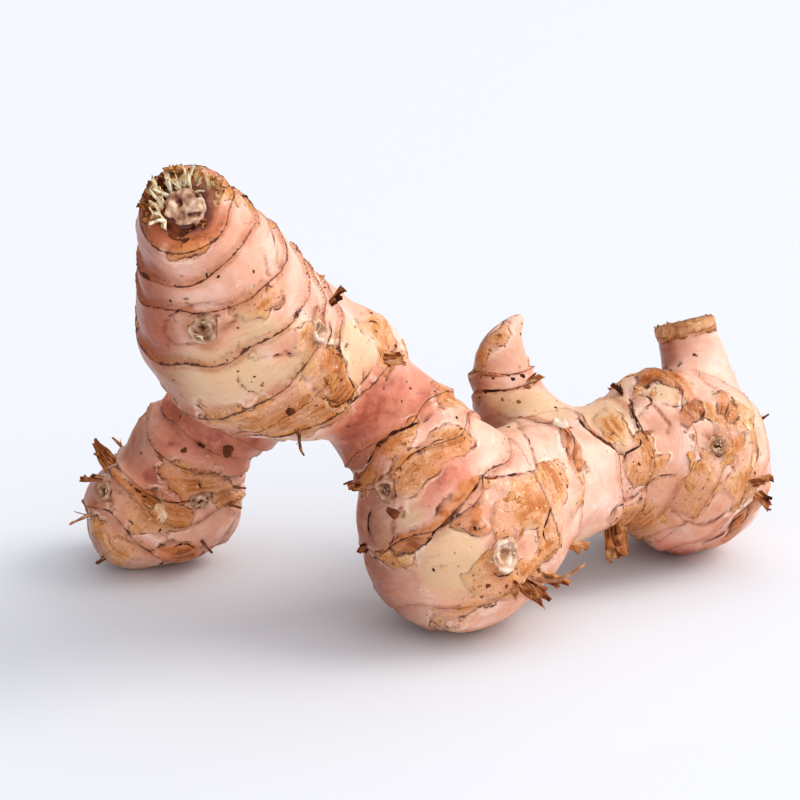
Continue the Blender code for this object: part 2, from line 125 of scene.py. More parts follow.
# Leaf scars: distance along the lobe, its rise across x and across z, and how dark its line is. A lobe
# without any has one that lies far past its tip.
SCARS = {
    "upper": (
        (17, -4, -12, 0.9),
        (28, 0, -3, 0.3),
        (36, -1, 0, 0.6),
        (46, 0.5, 0, 1.2),
        (55, 1, -2, 0.8),
        (62.5, 2, -1, 0.9),
        (70, -0.5, 0, 0.7),
    ),
    "front": ((7, 0, 0, 0.5), (12.5, 0, 0, 0.35), (22.5, -3, -2, 0.9), (36.5, 0, 0, 0.5), (45, 2, 0, 0.5)),
    "right": (
        (16, -2, 4.5, 0.8),
        (27.5, 0, 0, 1.2),
        (35.5, -1, 1.5, 1.2),
        (42.5, 0, 2, 0.4),
        (49.5, 2, 1.5, 0.7),
        (56, 3, 0.5, 0.9),
        (63, 0, 2, 0.5),
    ),
    "bud": ((15, -1.5, 0, 0.9), (20, -1, 0, 0.6)),
    "stub": ((24.5, 0, 0, 0.3),),
    "foot": ((90, 0, 0, 0),),
    "collar": ((90, 0, 0, 0),),
    "lower": (
        (22, 0, 0, 0.5),
        (30, 0, 2, 0.4),
        (37.5, -1, 2, 0.6),
        (43.5, 0, 2, 0.7),
        (55.5, -6, 10, 1.0),
        (63, -8, 8, 0.3),
        (69.5, -9, 6, 0.6),
    ),
}

# A leaf scar's lip and the step past it, the step's width, how softly it ends where lobes meet, and how far
# it takes to rise to the lip and to recover after the step, in millimetres
SCAR_LIP = 0.4
SCAR_STEP = 1.3
SCAR_WIDTH = 0.9
SCAR_FADE = 2.5
SCAR_RISE = 2.6
SCAR_RECOVERY = 3.4

# Root scars: a point near the skin and the radius of the raised rim, round a sunken middle
ROOT_SCARS = (
    (-39.7, -42.5, 68.8, 2.4),
    (-20.0, -32.6, 65.9, 1.9),
    (-9.6, -22.3, 32.4, 2.0),
    (12.8, -24.8, 20.6, 2.7),
    (24.9, 4.8, 36.0, 1.5),
    (-66.7, 12.4, 19.4, 1.8),
    (-45.5, 7.8, 17.5, 2.0),
    (57.5, 11.4, 29.4, 1.6),
    (-30.5, -8.5, 74.0, 2.2),
    (-55.5, 33.0, 18.0, 2.2),
    (56.5, 44.5, 22.0, 2.4),
    (32.5, 26.5, 22.0, 1.9),
    (-9.5, 7.5, 38.0, 1.8),
)

# How brown each root scar is, its raised rim, and the dip in its middle as a share of its radius
SCAR_TONES = (0.42, 0.25, 0.5, 0.2, -0.1, 0.5, 0.45, 0.4, 0.4, 0.5, 0.4, 0.5, 0.4)
RIM_HEIGHT = 0.7
RIM_WIDTH = 0.8
MIDDLE_DEPTH = 0.4
MIDDLE_WIDTH = 0.7

# How softly balls of one lobe, and then the lobes, run into each other
ALONG = 1.0
MERGE = 2.4

# How near the balls of a lobe are, and how often and how far a point is pulled to the skin
BALL_STEP = 1.5
PULLS = 4
LONGEST_PULL = 2.0

# Lumps of the skin and the wobble of its rings: height, longest wave, how many waves, and the draw
LUMPS = (0.55, 26.0, 7, 5)
WOBBLE = (0.7, 17.0, 4, 3)
WAVE_SHORTER = 0.82
WAVE_LOWER = 0.9

# The stem stub is cut across. The cut looks up, back and a little left, and ends this far from its middle.
CUT_CENTRE = (53.8, 42.2, 46.0)
CUT_FACING = (-0.23, 0.28, 0.93)
CUT_REACH = 12.0

# Where the skin is red: partly its own thin red skin, at the necks, in stripes and low on the right lobe,
# and partly painted shade, on the upper lobe's left side, on the lower lobe's top under the upper lobe and
# under the knob: lobes, and an outline in pixels
BLUSHES_AND_SHADE = (
    ("upper front lower", ((372, 368), (402, 368), (438, 384), (442, 402), (410, 418), (384, 436),
     (362, 470), (344, 470), (334, 440), (328, 424), (350, 404))),
    ("front", ((352, 470), (384, 432), (398, 436), (380, 462), (366, 490), (358, 510))),
    ("front", ((436, 462), (470, 440), (478, 452), (470, 476), (448, 492), (424, 506), (430, 482))),
    # Painted shade: the lower lobe's top, in the shadow of the upper lobe
    ("lower", ((160, 398), (262, 398), (262, 450), (240, 470), (200, 462), (160, 452))),
    ("lower", ((128, 470), (150, 466), (188, 490), (186, 514), (164, 506), (144, 492))),
    # Painted shade: the upper lobe's left side, turned from the light, and the hollow under the knob
    ("upper", ((140, 232), (158, 240), (162, 290), (164, 340), (150, 362), (136, 330))),
    ("upper", ((150, 215), (170, 236), (200, 240), (222, 222), (214, 246), (180, 254), (150, 244))),
    ("right", ((656, 538), (700, 543), (738, 532), (732, 550), (690, 560), (656, 554))),
)

# Where the skin is cream
CREAMS = (
    ("upper", ((152, 368), (180, 358), (220, 354), (246, 352), (276, 358), (308, 356), (312, 366),
     (298, 384), (264, 400), (230, 408), (196, 406), (168, 392))),
    ("upper", ((338, 330), (360, 324), (374, 340), (376, 356), (360, 386), (350, 388), (344, 364),
     (336, 350))),
    ("upper", ((240, 320), (284, 316), (300, 322), (270, 344), (240, 346))),
    ("front", ((428, 542), (452, 518), (480, 536), (484, 562), (470, 588), (446, 600), (420, 590),
     (416, 560))),
    ("front", ((398, 522), (408, 504), (424, 508), (420, 524), (402, 532))),
    ("front", ((366, 520), (376, 504), (392, 520), (394, 546), (384, 550), (370, 540))),
    ("bud right", ((474, 396), (500, 388), (532, 388), (556, 398), (570, 416), (540, 424), (500, 414),
     (474, 406))),
    ("right", ((578, 408), (600, 393), (624, 382), (630, 400), (632, 426), (626, 454), (604, 438),
     (588, 424))),
    ("right", ((640, 388), (664, 382), (690, 396), (682, 408), (664, 402), (650, 398))),
    ("right", ((716, 396), (760, 404), (764, 440), (742, 430), (728, 404))),
)

# Thin tan film, left of old leaf sheath
FILMS = (
    ("upper", ((238, 300), (262, 294), (280, 282), (288, 296), (284, 308), (262, 313), (246, 320),
     (238, 312))),
    ("upper", ((312, 358), (322, 350), (334, 360), (345, 380), (354, 394), (340, 400), (322, 396),
     (312, 386), (304, 373))),
    ("upper", ((366, 318), (380, 320), (392, 334), (397, 352), (392, 366), (384, 374), (376, 372),
     (382, 355), (377, 340), (366, 330))),
    ("upper", ((196, 412), (236, 414), (264, 404), (300, 380), (316, 392), (330, 400), (344, 404),
     (330, 417), (310, 430), (280, 436), (240, 434), (208, 426))),
    ("upper", ((288, 326), (312, 324), (318, 346), (296, 350))),
    ("upper", ((215, 178), (238, 184), (262, 200), (268, 216), (252, 208), (232, 196), (216, 190))),
    ("upper", ((166, 246), (196, 240), (224, 226), (226, 234), (200, 250), (170, 254))),
    ("front", ((434, 382), (452, 388), (466, 397), (474, 404), (462, 410), (446, 405), (438, 398))),
    ("front", ((354, 484), (372, 450), (395, 430), (414, 424), (406, 440), (386, 455), (371, 475),
     (362, 494))),
    ("front", ((395, 470), (410, 456), (430, 446), (450, 432), (468, 430), (473, 442), (456, 454),
     (438, 463), (424, 478), (412, 497), (404, 514), (397, 530), (391, 520), (396, 500), (389, 492),
     (395, 482))),
    ("front right", ((478, 480), (500, 470), (520, 473), (545, 467), (562, 461), (572, 480), (567, 500),
     (556, 522), (540, 532), (528, 525), (520, 531), (505, 529), (494, 520), (499, 505), (510, 498),
     (498, 488), (486, 487))),
    ("front", ((462, 577), (476, 574), (492, 578), (486, 588), (470, 586))),
    ("front", ((424, 612), (450, 603), (472, 601), (496, 601), (480, 614), (456, 622), (432, 626))),
    ("front", ((402, 551), (413, 557), (419, 572), (429, 590), (416, 592), (411, 578), (404, 566))),
    ("front", ((374, 549), (386, 545), (396, 552), (404, 562), (396, 572), (380, 566))),
    ("front right", ((488, 562), (500, 582), (522, 586), (538, 574), (564, 562), (546, 584), (530, 600),
     (506, 600), (488, 592), (484, 576))),
    ("right", ((574, 462), (586, 464), (590, 482), (585, 506), (576, 522), (569, 512), (577, 490))),
    ("right", ((592, 412), (606, 404), (622, 410), (632, 426), (628, 452), (611, 442), (598, 430))),
    ("right", ((626, 450), (640, 454), (655, 459), (670, 456), (662, 472), (645, 478), (630, 472))),
    ("right", ((608, 522), (625, 507), (642, 499), (657, 505), (668, 522), (662, 538), (640, 544),
     (620, 538))),
    ("right", ((696, 436), (716, 454), (724, 470), (725, 487), (712, 482), (703, 466))),
    ("right", ((749, 428), (757, 440), (759, 466), (750, 494), (738, 504), (745, 480), (749, 455))),
    ("right", ((676, 500), (682, 488), (700, 480), (718, 484), (722, 496), (711, 510), (696, 520),
     (684, 514))),
    ("lower", ((110, 488), (130, 488), (150, 499), (170, 504), (190, 516), (188, 530), (165, 533),
     (140, 528), (118, 517))),
    ("lower", ((166, 464), (186, 463), (206, 470), (223, 482), (216, 494), (200, 502), (186, 500),
     (176, 484))),
    ("lower", ((203, 484), (222, 486), (240, 497), (238, 514), (222, 510), (208, 499))),
    ("lower", ((96, 520), (115, 530), (136, 546), (142, 562), (116, 560), (100, 546), (90, 532))),
    ("bud", ((471, 354), (487, 338), (506, 327), (513, 335), (505, 344), (492, 350), (484, 362),
     (473, 371))),
    ("stub", ((655, 336), (668, 322), (700, 313), (716, 310), (718, 326), (700, 330), (684, 333),
     (668, 340), (658, 346))),
)

# Thick orange-brown scale
SCALES = (
    ("front", ((394, 553), (390, 540), (402, 529), (420, 527), (438, 514), (448, 499), (460, 484),
     (470, 477), (480, 477), (474, 493), (462, 506), (450, 519), (436, 531), (424, 544), (408, 551))),
    ("front", ((450, 526), (462, 514), (478, 502), (489, 508), (487, 520), (493, 531), (482, 538),
     (466, 534))),
    ("right", ((556, 426), (566, 430), (578, 446), (585, 462), (583, 470), (575, 462), (566, 444))),
    ("right", ((638, 380), (648, 368), (665, 366), (682, 374), (694, 387), (701, 401), (690, 399),
     (676, 386), (660, 380), (646, 384))),
    ("right", ((713, 397), (722, 393), (731, 401), (740, 415), (737, 426), (728, 422), (721, 411))),
    ("right", ((732, 431), (745, 430), (748, 446), (743, 463), (735, 470), (730, 450))),
    ("right", ((676, 416), (690, 403), (699, 402), (696, 416), (688, 427), (679, 424))),
    ("right", ((700, 549), (722, 541), (738, 527), (751, 512), (763, 497), (770, 484), (770, 504),
     (756, 520), (745, 535), (727, 547), (709, 554))),
    ("lower", ((110, 466), (122, 471), (137, 485), (150, 496), (158, 504), (148, 506), (135, 498),
     (120, 489), (109, 480))),
    ("lower", ((156, 552), (172, 543), (202, 546), (202, 558), (186, 567), (164, 565))),
    ("upper", ((320, 352), (330, 350), (338, 366), (350, 386), (346, 397), (332, 398), (322, 380))),
)

# Where small flakes of film are strewn
FLAKES = (
    ("right", ((632, 384), (664, 372), (700, 388), (730, 396), (758, 420), (760, 470), (740, 510),
     (700, 528), (660, 530), (640, 500), (622, 470), (630, 430))),
    ("front right", ((486, 500), (520, 470), (560, 458), (584, 480), (570, 520), (548, 560), (520, 590),
     (480, 596), (470, 570), (496, 540))),
)

# Dark lines that aren't leaf scars: half the width in millimetres, and a run of pixels
CRACKS_AND_SHADE = (
    # Partly the hollow's own dark red, partly painted shade in the crescent under the knob
    (0.80, ((158, 216), (166, 228), (178, 234), (190, 232), (200, 223), (206, 213))),
    (0.40, ((166, 236), (182, 241), (198, 238))),
    (0.30, ((212, 181), (228, 184), (244, 194), (257, 208))),
    (0.13, ((166, 343), (161, 334), (163, 323), (176, 312), (196, 306), (216, 306), (231, 310),
     (238, 318), (232, 326), (220, 332))),
    (0.15, ((163, 341), (170, 347), (184, 347), (198, 344))),
    (0.16, ((246, 351), (250, 359), (257, 362), (260, 357), (254, 351))),
    (0.20, ((262, 360), (268, 358))),
    (0.20, ((274, 357), (281, 355))),
    (0.20, ((286, 352), (292, 356))),
    (0.12, ((238, 378), (241, 386), (248, 394), (262, 401))),
    (0.12, ((262, 300), (262, 308), (272, 309), (281, 303), (280, 292))),
    (0.12, ((266, 256), (268, 268), (269, 276))),
    (0.13, ((272, 222), (276, 240), (279, 256), (281, 268))),
    (0.20, ((314, 322), (318, 336), (326, 346))),
    (0.20, ((331, 322), (334, 334), (328, 348))),
    (0.12, ((315, 318), (317, 308), (322, 306), (324, 314))),
    (0.18, ((330, 350), (340, 360), (352, 390))),
    (0.16, ((316, 394), (330, 399), (348, 399), (362, 392))),
    (0.20, ((352, 318), (372, 320), (386, 332), (394, 346), (402, 360))),
    (0.15, ((372, 368), (364, 378), (356, 388))),
    (0.12, ((362, 372), (363, 380))),
    (0.16, ((378, 344), (384, 356), (378, 366))),
    (0.25, ((352, 478), (372, 452), (392, 434), (412, 425), (432, 414), (444, 400))),
    (0.14, ((396, 470), (410, 456), (432, 444), (452, 432))),
    (0.30, ((424, 544), (436, 531), (450, 518), (462, 504), (474, 490), (480, 478))),
    (0.22, ((478, 479), (500, 475), (524, 472), (548, 469))),
    (0.25, ((378, 480), (384, 478), (389, 484), (388, 494), (382, 497), (378, 492))),
    (0.15, ((392, 482), (396, 492), (394, 502))),
    (0.22, ((371, 508), (367, 520), (370, 534), (380, 548), (388, 552))),
    (0.16, ((392, 520), (394, 536), (392, 548))),
    (0.22, ((388, 553), (398, 556), (406, 552))),
    (0.13, ((504, 417), (520, 426), (530, 441), (535, 462), (536, 480))),
    (0.20, ((498, 414), (510, 419), (530, 421), (546, 426), (560, 434))),
    (0.18, ((556, 428), (570, 444), (577, 462), (582, 476))),
    (0.22, ((552, 500), (545, 515), (540, 530), (544, 548))),
    (0.16, ((496, 538), (508, 536), (518, 540))),
    (0.18, ((490, 570), (502, 574), (514, 568))),
    (0.14, ((466, 418), (472, 430), (474, 446))),
    (0.36, ((575, 408), (584, 424), (598, 438), (612, 448), (625, 455))),
    (0.20, ((629, 386), (631, 404), (633, 422), (637, 432))),
    (0.34, ((632, 396), (633, 410), (636, 424), (644, 433), (652, 430))),
    (0.20, ((631, 394), (642, 391), (650, 397), (652, 404), (644, 409), (638, 417))),
    (0.18, ((652, 404), (662, 414), (670, 424), (668, 432))),
    (0.22, ((637, 432), (640, 444), (628, 452), (624, 462))),
    (0.14, ((662, 404), (676, 408), (690, 400), (698, 396))),
    (0.24, ((640, 376), (650, 368), (664, 367), (682, 374))),
    (0.20, ((606, 520), (616, 506), (634, 498), (648, 486), (662, 478), (676, 476))),
    (0.14, ((672, 512), (684, 522), (700, 527), (716, 520), (730, 508), (744, 494), (766, 480))),
    (0.20, ((748, 420), (756, 436), (757, 452))),
    (0.16, ((706, 432), (712, 438), (718, 434))),
    (0.22, ((712, 446), (718, 440), (724, 446), (720, 456), (714, 452))),
    (0.16, ((640, 548), (664, 552), (700, 554), (730, 545))),
    (0.18, ((702, 545), (720, 536), (738, 520), (752, 506))),
    (0.22, ((112, 474), (128, 482), (142, 494), (158, 499), (172, 503))),
    (0.25, ((198, 482), (205, 492), (214, 500))),
    (0.14, ((172, 466), (192, 470), (212, 475))),
    (0.22, ((150, 548), (168, 549), (184, 546), (202, 549))),
    (0.16, ((118, 536), (136, 546), (152, 550))),
    (0.20, ((96, 486), (98, 496), (96, 504))),
    (0.20, ((158, 402), (161, 414), (170, 424))),
    (0.20, ((464, 392), (490, 391), (510, 389), (530, 388))),
    (0.12, ((476, 374), (490, 376), (508, 374), (526, 372))),
    (0.18, ((470, 402), (482, 398), (478, 408))),
    (0.10, ((245, 490), (238, 510), (228, 532), (215, 550))),
)

# Small dark marks: a pixel and a radius in millimetres
SPOTS = (
    (228, 454, 1.5), (200, 446, 0.9), (183, 451, 0.7), (158, 458, 0.8), (393, 513, 1.3), (519, 403, 0.5),
    (384, 388, 0.35), (362, 380, 0.3), (413, 607, 0.45), (434, 569, 0.35), (505, 390, 0.5), (622, 380, 0.9),
    (315, 404, 0.35), (291, 413, 0.8), (240, 428, 0.45), (255, 378, 0.3), (238, 372, 0.3), (207, 277, 0.3),
    (219, 278, 0.35), (169, 302, 0.35), (203, 320, 0.5), (195, 333, 0.4), (104, 557, 0.9), (718, 447, 1.0),
    (352, 489, 0.5), (460, 430, 0.4), (455, 420, 0.3), (560, 474, 0.3), (487, 584, 0.5), (648, 432, 0.8),
    (162, 568, 0.6), (524, 375, 0.6), (527, 388, 0.7), (514, 378, 0.5), (486, 392, 0.4), (558, 545, 0.4),
)

# Papery rags of old leaf sheath: a point near the skin, the heading, and the length, width and lift
RAGS = (
    ((-66.1, 18.1, 23.1), (-0.8, 0.2, 0.9), 7.0, 3.6, 0.5),
    ((-66.9, 16.8, 20.8), (-1.0, -0.5, 0.0), 4.5, 2.4, 0.6),
    ((-17.4, -25.8, 68.5), (0.3, 0.2, 1.0), 3.6, 2.2, 0.8),
    ((-8.0, -17.0, 57.3), (0.6, 0.3, -0.9), 4.5, 3.6, 0.5),
    ((15.5, -22.6, 14.7), (0.9, -0.2, -0.8), 6.5, 2.6, 0.7),
    ((18.0, -19.1, 11.5), (1.0, -0.4, -0.5), 5.0, 2.4, 0.6),
    ((20.0, -17.3, 12.4), (1.0, 0.0, -0.3), 6.0, 2.0, 0.7),
    ((13.5, -24.5, 16.5), (0.5, -0.3, -1.0), 5.5, 2.4, 0.4),
    ((26.6, -9.0, 14.7), (0.8, -0.2, 0.6), 4.0, 2.0, 0.7),
    ((36.0, 8.0, 16.0), (0.0, -0.35, -1.0), 6.6, 6.0, 0.9),
    ((38.4, 8.0, 15.2), (-0.15, -0.35, -1.0), 6.2, 5.5, 0.9),
    ((65.4, 13.2, 19.5), (0.7, -0.2, 0.6), 4.5, 4.0, 0.6),
    ((68.0, 16.5, 17.0), (0.5, -0.3, -0.8), 4.0, 3.4, 0.5),
    ((38.8, 22.2, 37.9), (-0.8, 0.1, 0.5), 2.4, 2.2, 0.6),
    ((19.5, 20.6, 40.1), (0.9, -0.2, 0.4), 3.0, 2.0, 0.8),
    ((-13.6, -18.4, 20.0), (-0.6, 0.0, -0.8), 2.6, 2.6, 0.6),
    ((-14.7, -17.6, 30.6), (-0.8, 0.0, 0.2), 2.2, 2.4, 0.8),
    ((-47.5, 31.5, 30.0), (-0.4, 0.5, 0.9), 5.0, 3.0, 0.5),
    ((-23.5, -6.5, 68.0), (0.2, 0.9, 0.6), 5.0, 3.4, 0.5),
    ((58.5, 43.5, 12.0), (0.3, 0.8, -0.6), 5.0, 3.6, 0.4),
    ((38.5, 33.5, 30.0), (0.8, 0.4, 0.5), 5.0, 3.4, 0.4),
)

# How brown each rag is
RAG_TONES = (0.55, 0.5, 0.8, 0.3, 0.35, 0.5, 0.4, 0.3, 0.4, 0.3, 0.5,
             0.5, 0.6, 0.95, 0.2, 0.6, 0.6, 0.4, 0.4, 0.5, 0.4)

# A rag's root sinks this far, it bends up as its length to a power, and it is cupped, tapered and torn by
# these shares. Narrow shreds stand beside it, and more of them where the rag is narrow.
RAG_ROOT = 1.8
RAG_BEND = 1.6
RAG_CUP = 0.2
RAG_TAPER = 0.7
RAG_TEAR = 0.4
RAG_TEAR_SIDE = 0.2
RAG_SHREDS = 3
NARROW_RAG = 2.3
NARROW_SHREDS = 7

# Rootlets: a point near the skin, where the rootlet heads, its length and its radius where it leaves
ROOTLETS = (
    ((-70.0, 13.4, 13.6), (-0.8, -0.4, -0.6), 4.0, 0.5),
    ((-66.7, 12.9, 4.6), (-0.8, -0.5, -0.2), 2.6, 0.7),
    ((-39.3, 13.0, 19.2), (1.0, -0.2, 0.1), 3.2, 0.5),
    ((-40.4, 12.8, 15.6), (1.0, -0.3, -0.1), 3.0, 0.5),
    ((-45.8, 11.2, 7.2), (0.7, -0.5, -0.5), 2.6, 0.5),
    ((-24.7, -28.6, 46.2), (0.1, -0.1, -1.0), 4.6, 0.45),
    ((18.6, -19.0, 13.6), (0.76, 0.25, 0.55), 10.2, 0.6),
    ((-13.5, -2.5, 27.0), (-0.9, 0.2, -0.4), 3.0, 0.5),
    ((-63.5, 29.5, 20.0), (-0.7, 0.7, 0.3), 5.0, 0.55),
    ((64.5, 35.5, 24.0), (0.8, 0.5, 0.4), 4.0, 0.5),
    ((28.5, 25.5, 15.0), (-0.2, 0.8, -0.6), 6.0, 0.6),
    ((6.5, 7.5, 18.0), (0.1, 0.9, -0.5), 5.0, 0.6),
    ((46.5, 39.5, 10.0), (-0.3, 0.8, -0.5), 4.0, 0.6),
)

# The stem scar on the upper lobe's tip: a rough round knob
KNOB_CENTRE = (-41.8, -38.5, 87.0)
KNOB_AXIS = (-0.03, -0.86, 0.50)

# Its radius and how far it stands out, where its top is flattened and by how much, and how its neck shrinks
KNOB_RADIUS = 5.0
KNOB_STAND = 3.6
KNOB_TOP = 0.6
KNOB_SQUASH = 0.8
NUB_SHRINK = 0.3
KNOB_FRINGE_STAND = 5.4

# The hollow that the knob sits in, and the low wall round it
HOLLOW_RADIUS = 5.6
HOLLOW_DEPTH = 2.4
WALL_RADIUS = 6.6
WALL_HEIGHT = 0.6
WALL_WIDTH = 1.0

# The camera's own directions, its place, and how many pixels a millimetre takes at a millimetre away
SLOPE = math.radians(LOOK_DOWN)
RIGHT = np.array((1.0, 0.0, 0.0))
UP = np.array((0.0, math.sin(SLOPE), math.cos(SLOPE)))
FORWARD = np.array((0.0, math.cos(SLOPE), -math.sin(SLOPE)))
EYE = np.array(AIM) - CAMERA_DISTANCE * FORWARD
FOCAL = PHOTO_SIDE * LENS / SENSOR

# A mark from the photograph fades out where the skin faces its camera by less than the first, by so many
# millimetres for a whole turn away. A point far outside every mark counts as this far out, and points so
# many pixels outside a mark aren't looked at.
HORIZON = 0.1
HORIZON_FALL = 12.0
FAR_OUTSIDE = -6.0
REACH_OF_MARK = 30.0

# Points read at a time, and the sides and cap rows of the first tubes
CHUNK = 12000
TUBE_SIDES = 28
CAP_ROWS = 6

# Streaks are counted on past the last leaf scar by this spacing, and noise repeats after this many cells
RING_SPACING = 8.0
LATTICE = 64

# Torn edges: the size of the tears and how far they reach, in millimetres
TEARS = ((7.0, 1.3, 21), (3.0, 0.9, 22), (1.4, 0.5, 23))

# How far film and scale stand out and how wide their edges are, the height of the film's wrinkles and of
# the skin's dents, and the depth and half width of a crack, in millimetres
FILM_STAND = 0.2
SCALE_STAND = 0.45
EDGE_RUN = 0.5
FILM_WRINKLE = 0.15
DENT = 0.12
CRACK_DEPTH = 0.25
CRACK_SIDE = 0.8

# Remnants of leaf sheath on the sides that the photograph doesn't show: their size, how far they reach from
# a leaf scar, how common they are, how rare thick ones are, and from which facing on a side is hidden
REMNANT_SIZE = 9.0
REMNANT_REACH = 11.0
REMNANT_SHARE = 0.1
THICK_SHARE = 0.42
HIDDEN_FROM = 0.18
HIDDEN_RUN = 0.25

# Painted shade: the side turned from the light, on the left, is painted browner: which way that is, and from
# and to which facing
SHADE_SIDE_FACING = (-0.98, -0.12, -0.12)
SHADE_SIDE_FROM = 0.24
SHADE_SIDE_TO = 0.98

# The walk down a camera ray to the skin: where it starts and ends, its steps, and how near is there
WALK_FROM = 300.0
WALK_TO = 520.0
WALK_STEPS = 36
WALK_GAP = 0.1

# Thicknesses of the sheets and how near points are welded, in millimetres
SCRAP_THICKNESS = 0.2
FLAKE_THICKNESS = 0.06
FIBRE_THICKNESS = 0.1
FRINGE_THICKNESS = 0.16
CRUST_THICKNESS = 0.3
WELD = 0.002

# Flakes of film: how many are tried in a region, in a film and where the photograph doesn't look, and
# their rows, columns and lift
FLAKES_IN_REGION = 12
FLAKES_IN_FILM = 1
FLAKES_HIDDEN = 80
FLAKE_ROWS = 9
FLAKE_COLUMNS = 7
FLAKE_LIFT = 0.05

# Drawn points: how many are tried for each one, how near the skin they have to come, and how far from the
# floor and from the stub's cut they stay
TRIES = 4
ON_SKIN = 0.05
CLEAR_OF_FLOOR = 1.5
CLEAR_OF_CUT = 3.0
CLEAR_OF_RIM = 2.0

# Torn edges: pixels between their points, columns, height, width, how crooked they are and how few points
# make none
CRACK_STEP = 2.0
CRACK_COLUMNS = 5
CRACK_STAND = 0.09
CRACK_WIDTH = 1.1
CRACK_WIGGLE = 0.35
SHORTEST_CRACK = 5

# Crumbs: how many are strewn, their radius and their sides
CRUMBS = 320
CRUMB_RADIUS = 0.42
CRUMB_SIDES = 9

# Rows and sides of the discs of root scars, how many fibres each has and how far these stand out
SCAR_ROWS = 13
SCAR_SIDES = 30
SCAR_FIBRES = 7
FIBRE_STAND = 0.3

# Rows and sides of the knob, sides of the stub's crust, and how many tufts it has and their lift
KNOB_ROWS = 34
KNOB_SIDES = 64
CRUST_SIDES = 72
STUB_TUFTS = 18
STUB_LIFT = 0.15

# A rootlet's root sinks this far, it bends to its heading as its length to a power, droops and sweeps by
# these shares, and has so many rows, sides and finer hairs
ROOTLET_ROOT = 1.5
ROOTLET_BEND = 1.5
ROOTLET_DROOP = 0.6
ROOTLET_SWEEP = 0.8
ROOTLET_ROWS = 14
ROOTLET_SIDES = 7
ROOTLET_HAIRS = 2

# Tufts round the stem scar: what they are, how many, how far out, from and to which angle, their length,
# width and tone
KNOB_TUFTS = (
    ("pale fibres on the left and above", 60, 4.2, -20, 125, 5.2, 0.55, -0.05),
    ("short brown fibres all round", 40, 3.9, 0, 360, 1.6, 0.6, 0.5),
    ("brown rags on the left", 26, 6.0, 20, 110, 2.8, 1.5, 0.6),
    ("orange-brown rags above and on the right", 24, 6.4, -80, 20, 2.8, 1.8, 0.3),
)

# The room is bright on its right, and the soft light stands high on that side
ROOM_FACING = (0.80, -0.40, 0.42)
ROOM_DIM = 0.17
KEY_FACING = (0.72, 0.08, 0.66)
KEY_SPREAD = math.radians(34)


def hex_colour(text):
    """An sRGB hex value as linear red, green, blue and alpha."""
    values = np.array([int(text[i : i + 2], 16) for i in (1, 3, 5)]) / 255
    linear = np.where(values <= 0.04045, values / 12.92, ((values + 0.055) / 1.055) ** 2.4)
    return (*linear.tolist(), 1.0)


def unit(vectors):
    """Vectors of length one."""
    vectors = np.asarray(vectors, float)
    return vectors / np.linalg.norm(vectors, axis=-1, keepdims=True)


def smooth_run(points, step):
    """A Catmull-Rom curve through the points, read about every step."""
    points = np.array(points, float)
    before = 2 * points[0] - points[1]
    after = 2 * points[-1] - points[-2]
    knots = np.vstack([before, points, after])
    space = min(3, points.shape[1])
    runs = []
    for a, b, c, d in zip(knots, knots[1:], knots[2:], knots[3:]):
        count = max(2, round(np.linalg.norm(c[:space] - b[:space]) / step))
        t = (np.arange(count) / count)[:, None]
        bend = 2 * a - 5 * b + 4 * c - d
        twist = 3 * b - a - 3 * c + d
        runs.append(0.5 * (2 * b + (c - a) * t + bend * t**2 + twist * t**3))
    return np.vstack(runs + [points[-1:]])


class Lobe:
    """Balls along one centre line. Their soft minimum is the distance to the lobe's skin."""

    def __init__(self, balls, scars):
        run = smooth_run(balls, BALL_STEP)
        self.centres = run[:, :3]
        self.radii = run[:, 3]
        steps = np.linalg.norm(np.diff(self.centres, axis=0), axis=1)
        self.along = np.concatenate([[0], np.cumsum(steps)])
        self.tangents = unit(np.gradient(self.centres, self.along, axis=0))
        # Neighbouring balls add up, so each counts for its share of a straight tube
        self.shares = np.gradient(self.along) / np.sqrt(2 * math.pi * self.radii * ALONG)
        self.shares[[0, -1]] = 1
        self.scars = np.array(scars, float)

    def read(self, points):
        """The distance to the skin and its gradient, the distance along the lobe and its direction."""
        away = points[:, None] - self.centres
        length = np.linalg.norm(away, axis=2)
        gap = length - self.radii
        nearest = gap.min(axis=1, keepdims=True)
        weight = self.shares * np.exp((nearest - gap) / ALONG)
        total = weight.sum(axis=1, keepdims=True)
        distance = nearest[:, 0] - ALONG * np.log(total[:, 0])
        weight /= total
        gradient = (weight[:, :, None] * away / length[:, :, None]).sum(axis=1)
        reach = self.along + (away * self.tangents).sum(axis=2)
        return distance, gradient, (weight * reach).sum(axis=1), weight @ self.tangents


def read_skin(lobes, points):
    """The distance to the whole skin and its gradient, then each lobe's distance, reach and direction."""
    parts = []
    for some in np.array_split(points, len(points) // CHUNK + 1):
        found = [lobe.read(some) for lobe in lobes]
        distances = np.stack([lobe[0] for lobe in found], axis=1)
        nearest = distances.min(axis=1, keepdims=True)
        shares = np.exp((nearest - distances) / MERGE)
        total = shares.sum(axis=1, keepdims=True)
        distance = nearest[:, 0] - MERGE * np.log(total[:, 0])
        gradient = sum(share[:, None] * lobe[1] for share, lobe in zip((shares / total).T, found))
        reach = np.stack([lobe[2] for lobe in found], axis=1)
        direction = np.stack([lobe[3] for lobe in found], axis=1)
        parts.append((distance, gradient, distances, reach, direction))
    return [np.concatenate(column) for column in zip(*parts)]


def pull_to_skin(lobes, points):
    """Moves points on to the skin by Newton's method, and returns them with the outward normals."""
    for _ in range(PULLS):
        distance, gradient = read_skin(lobes, points)[:2]
        steepness = (gradient**2).sum(axis=1, keepdims=True)
        pull = np.clip(distance[:, None] / steepness, -LONGEST_PULL, LONGEST_PULL)
        points = points - pull * gradient
    return points, unit(read_skin(lobes, points)[1])


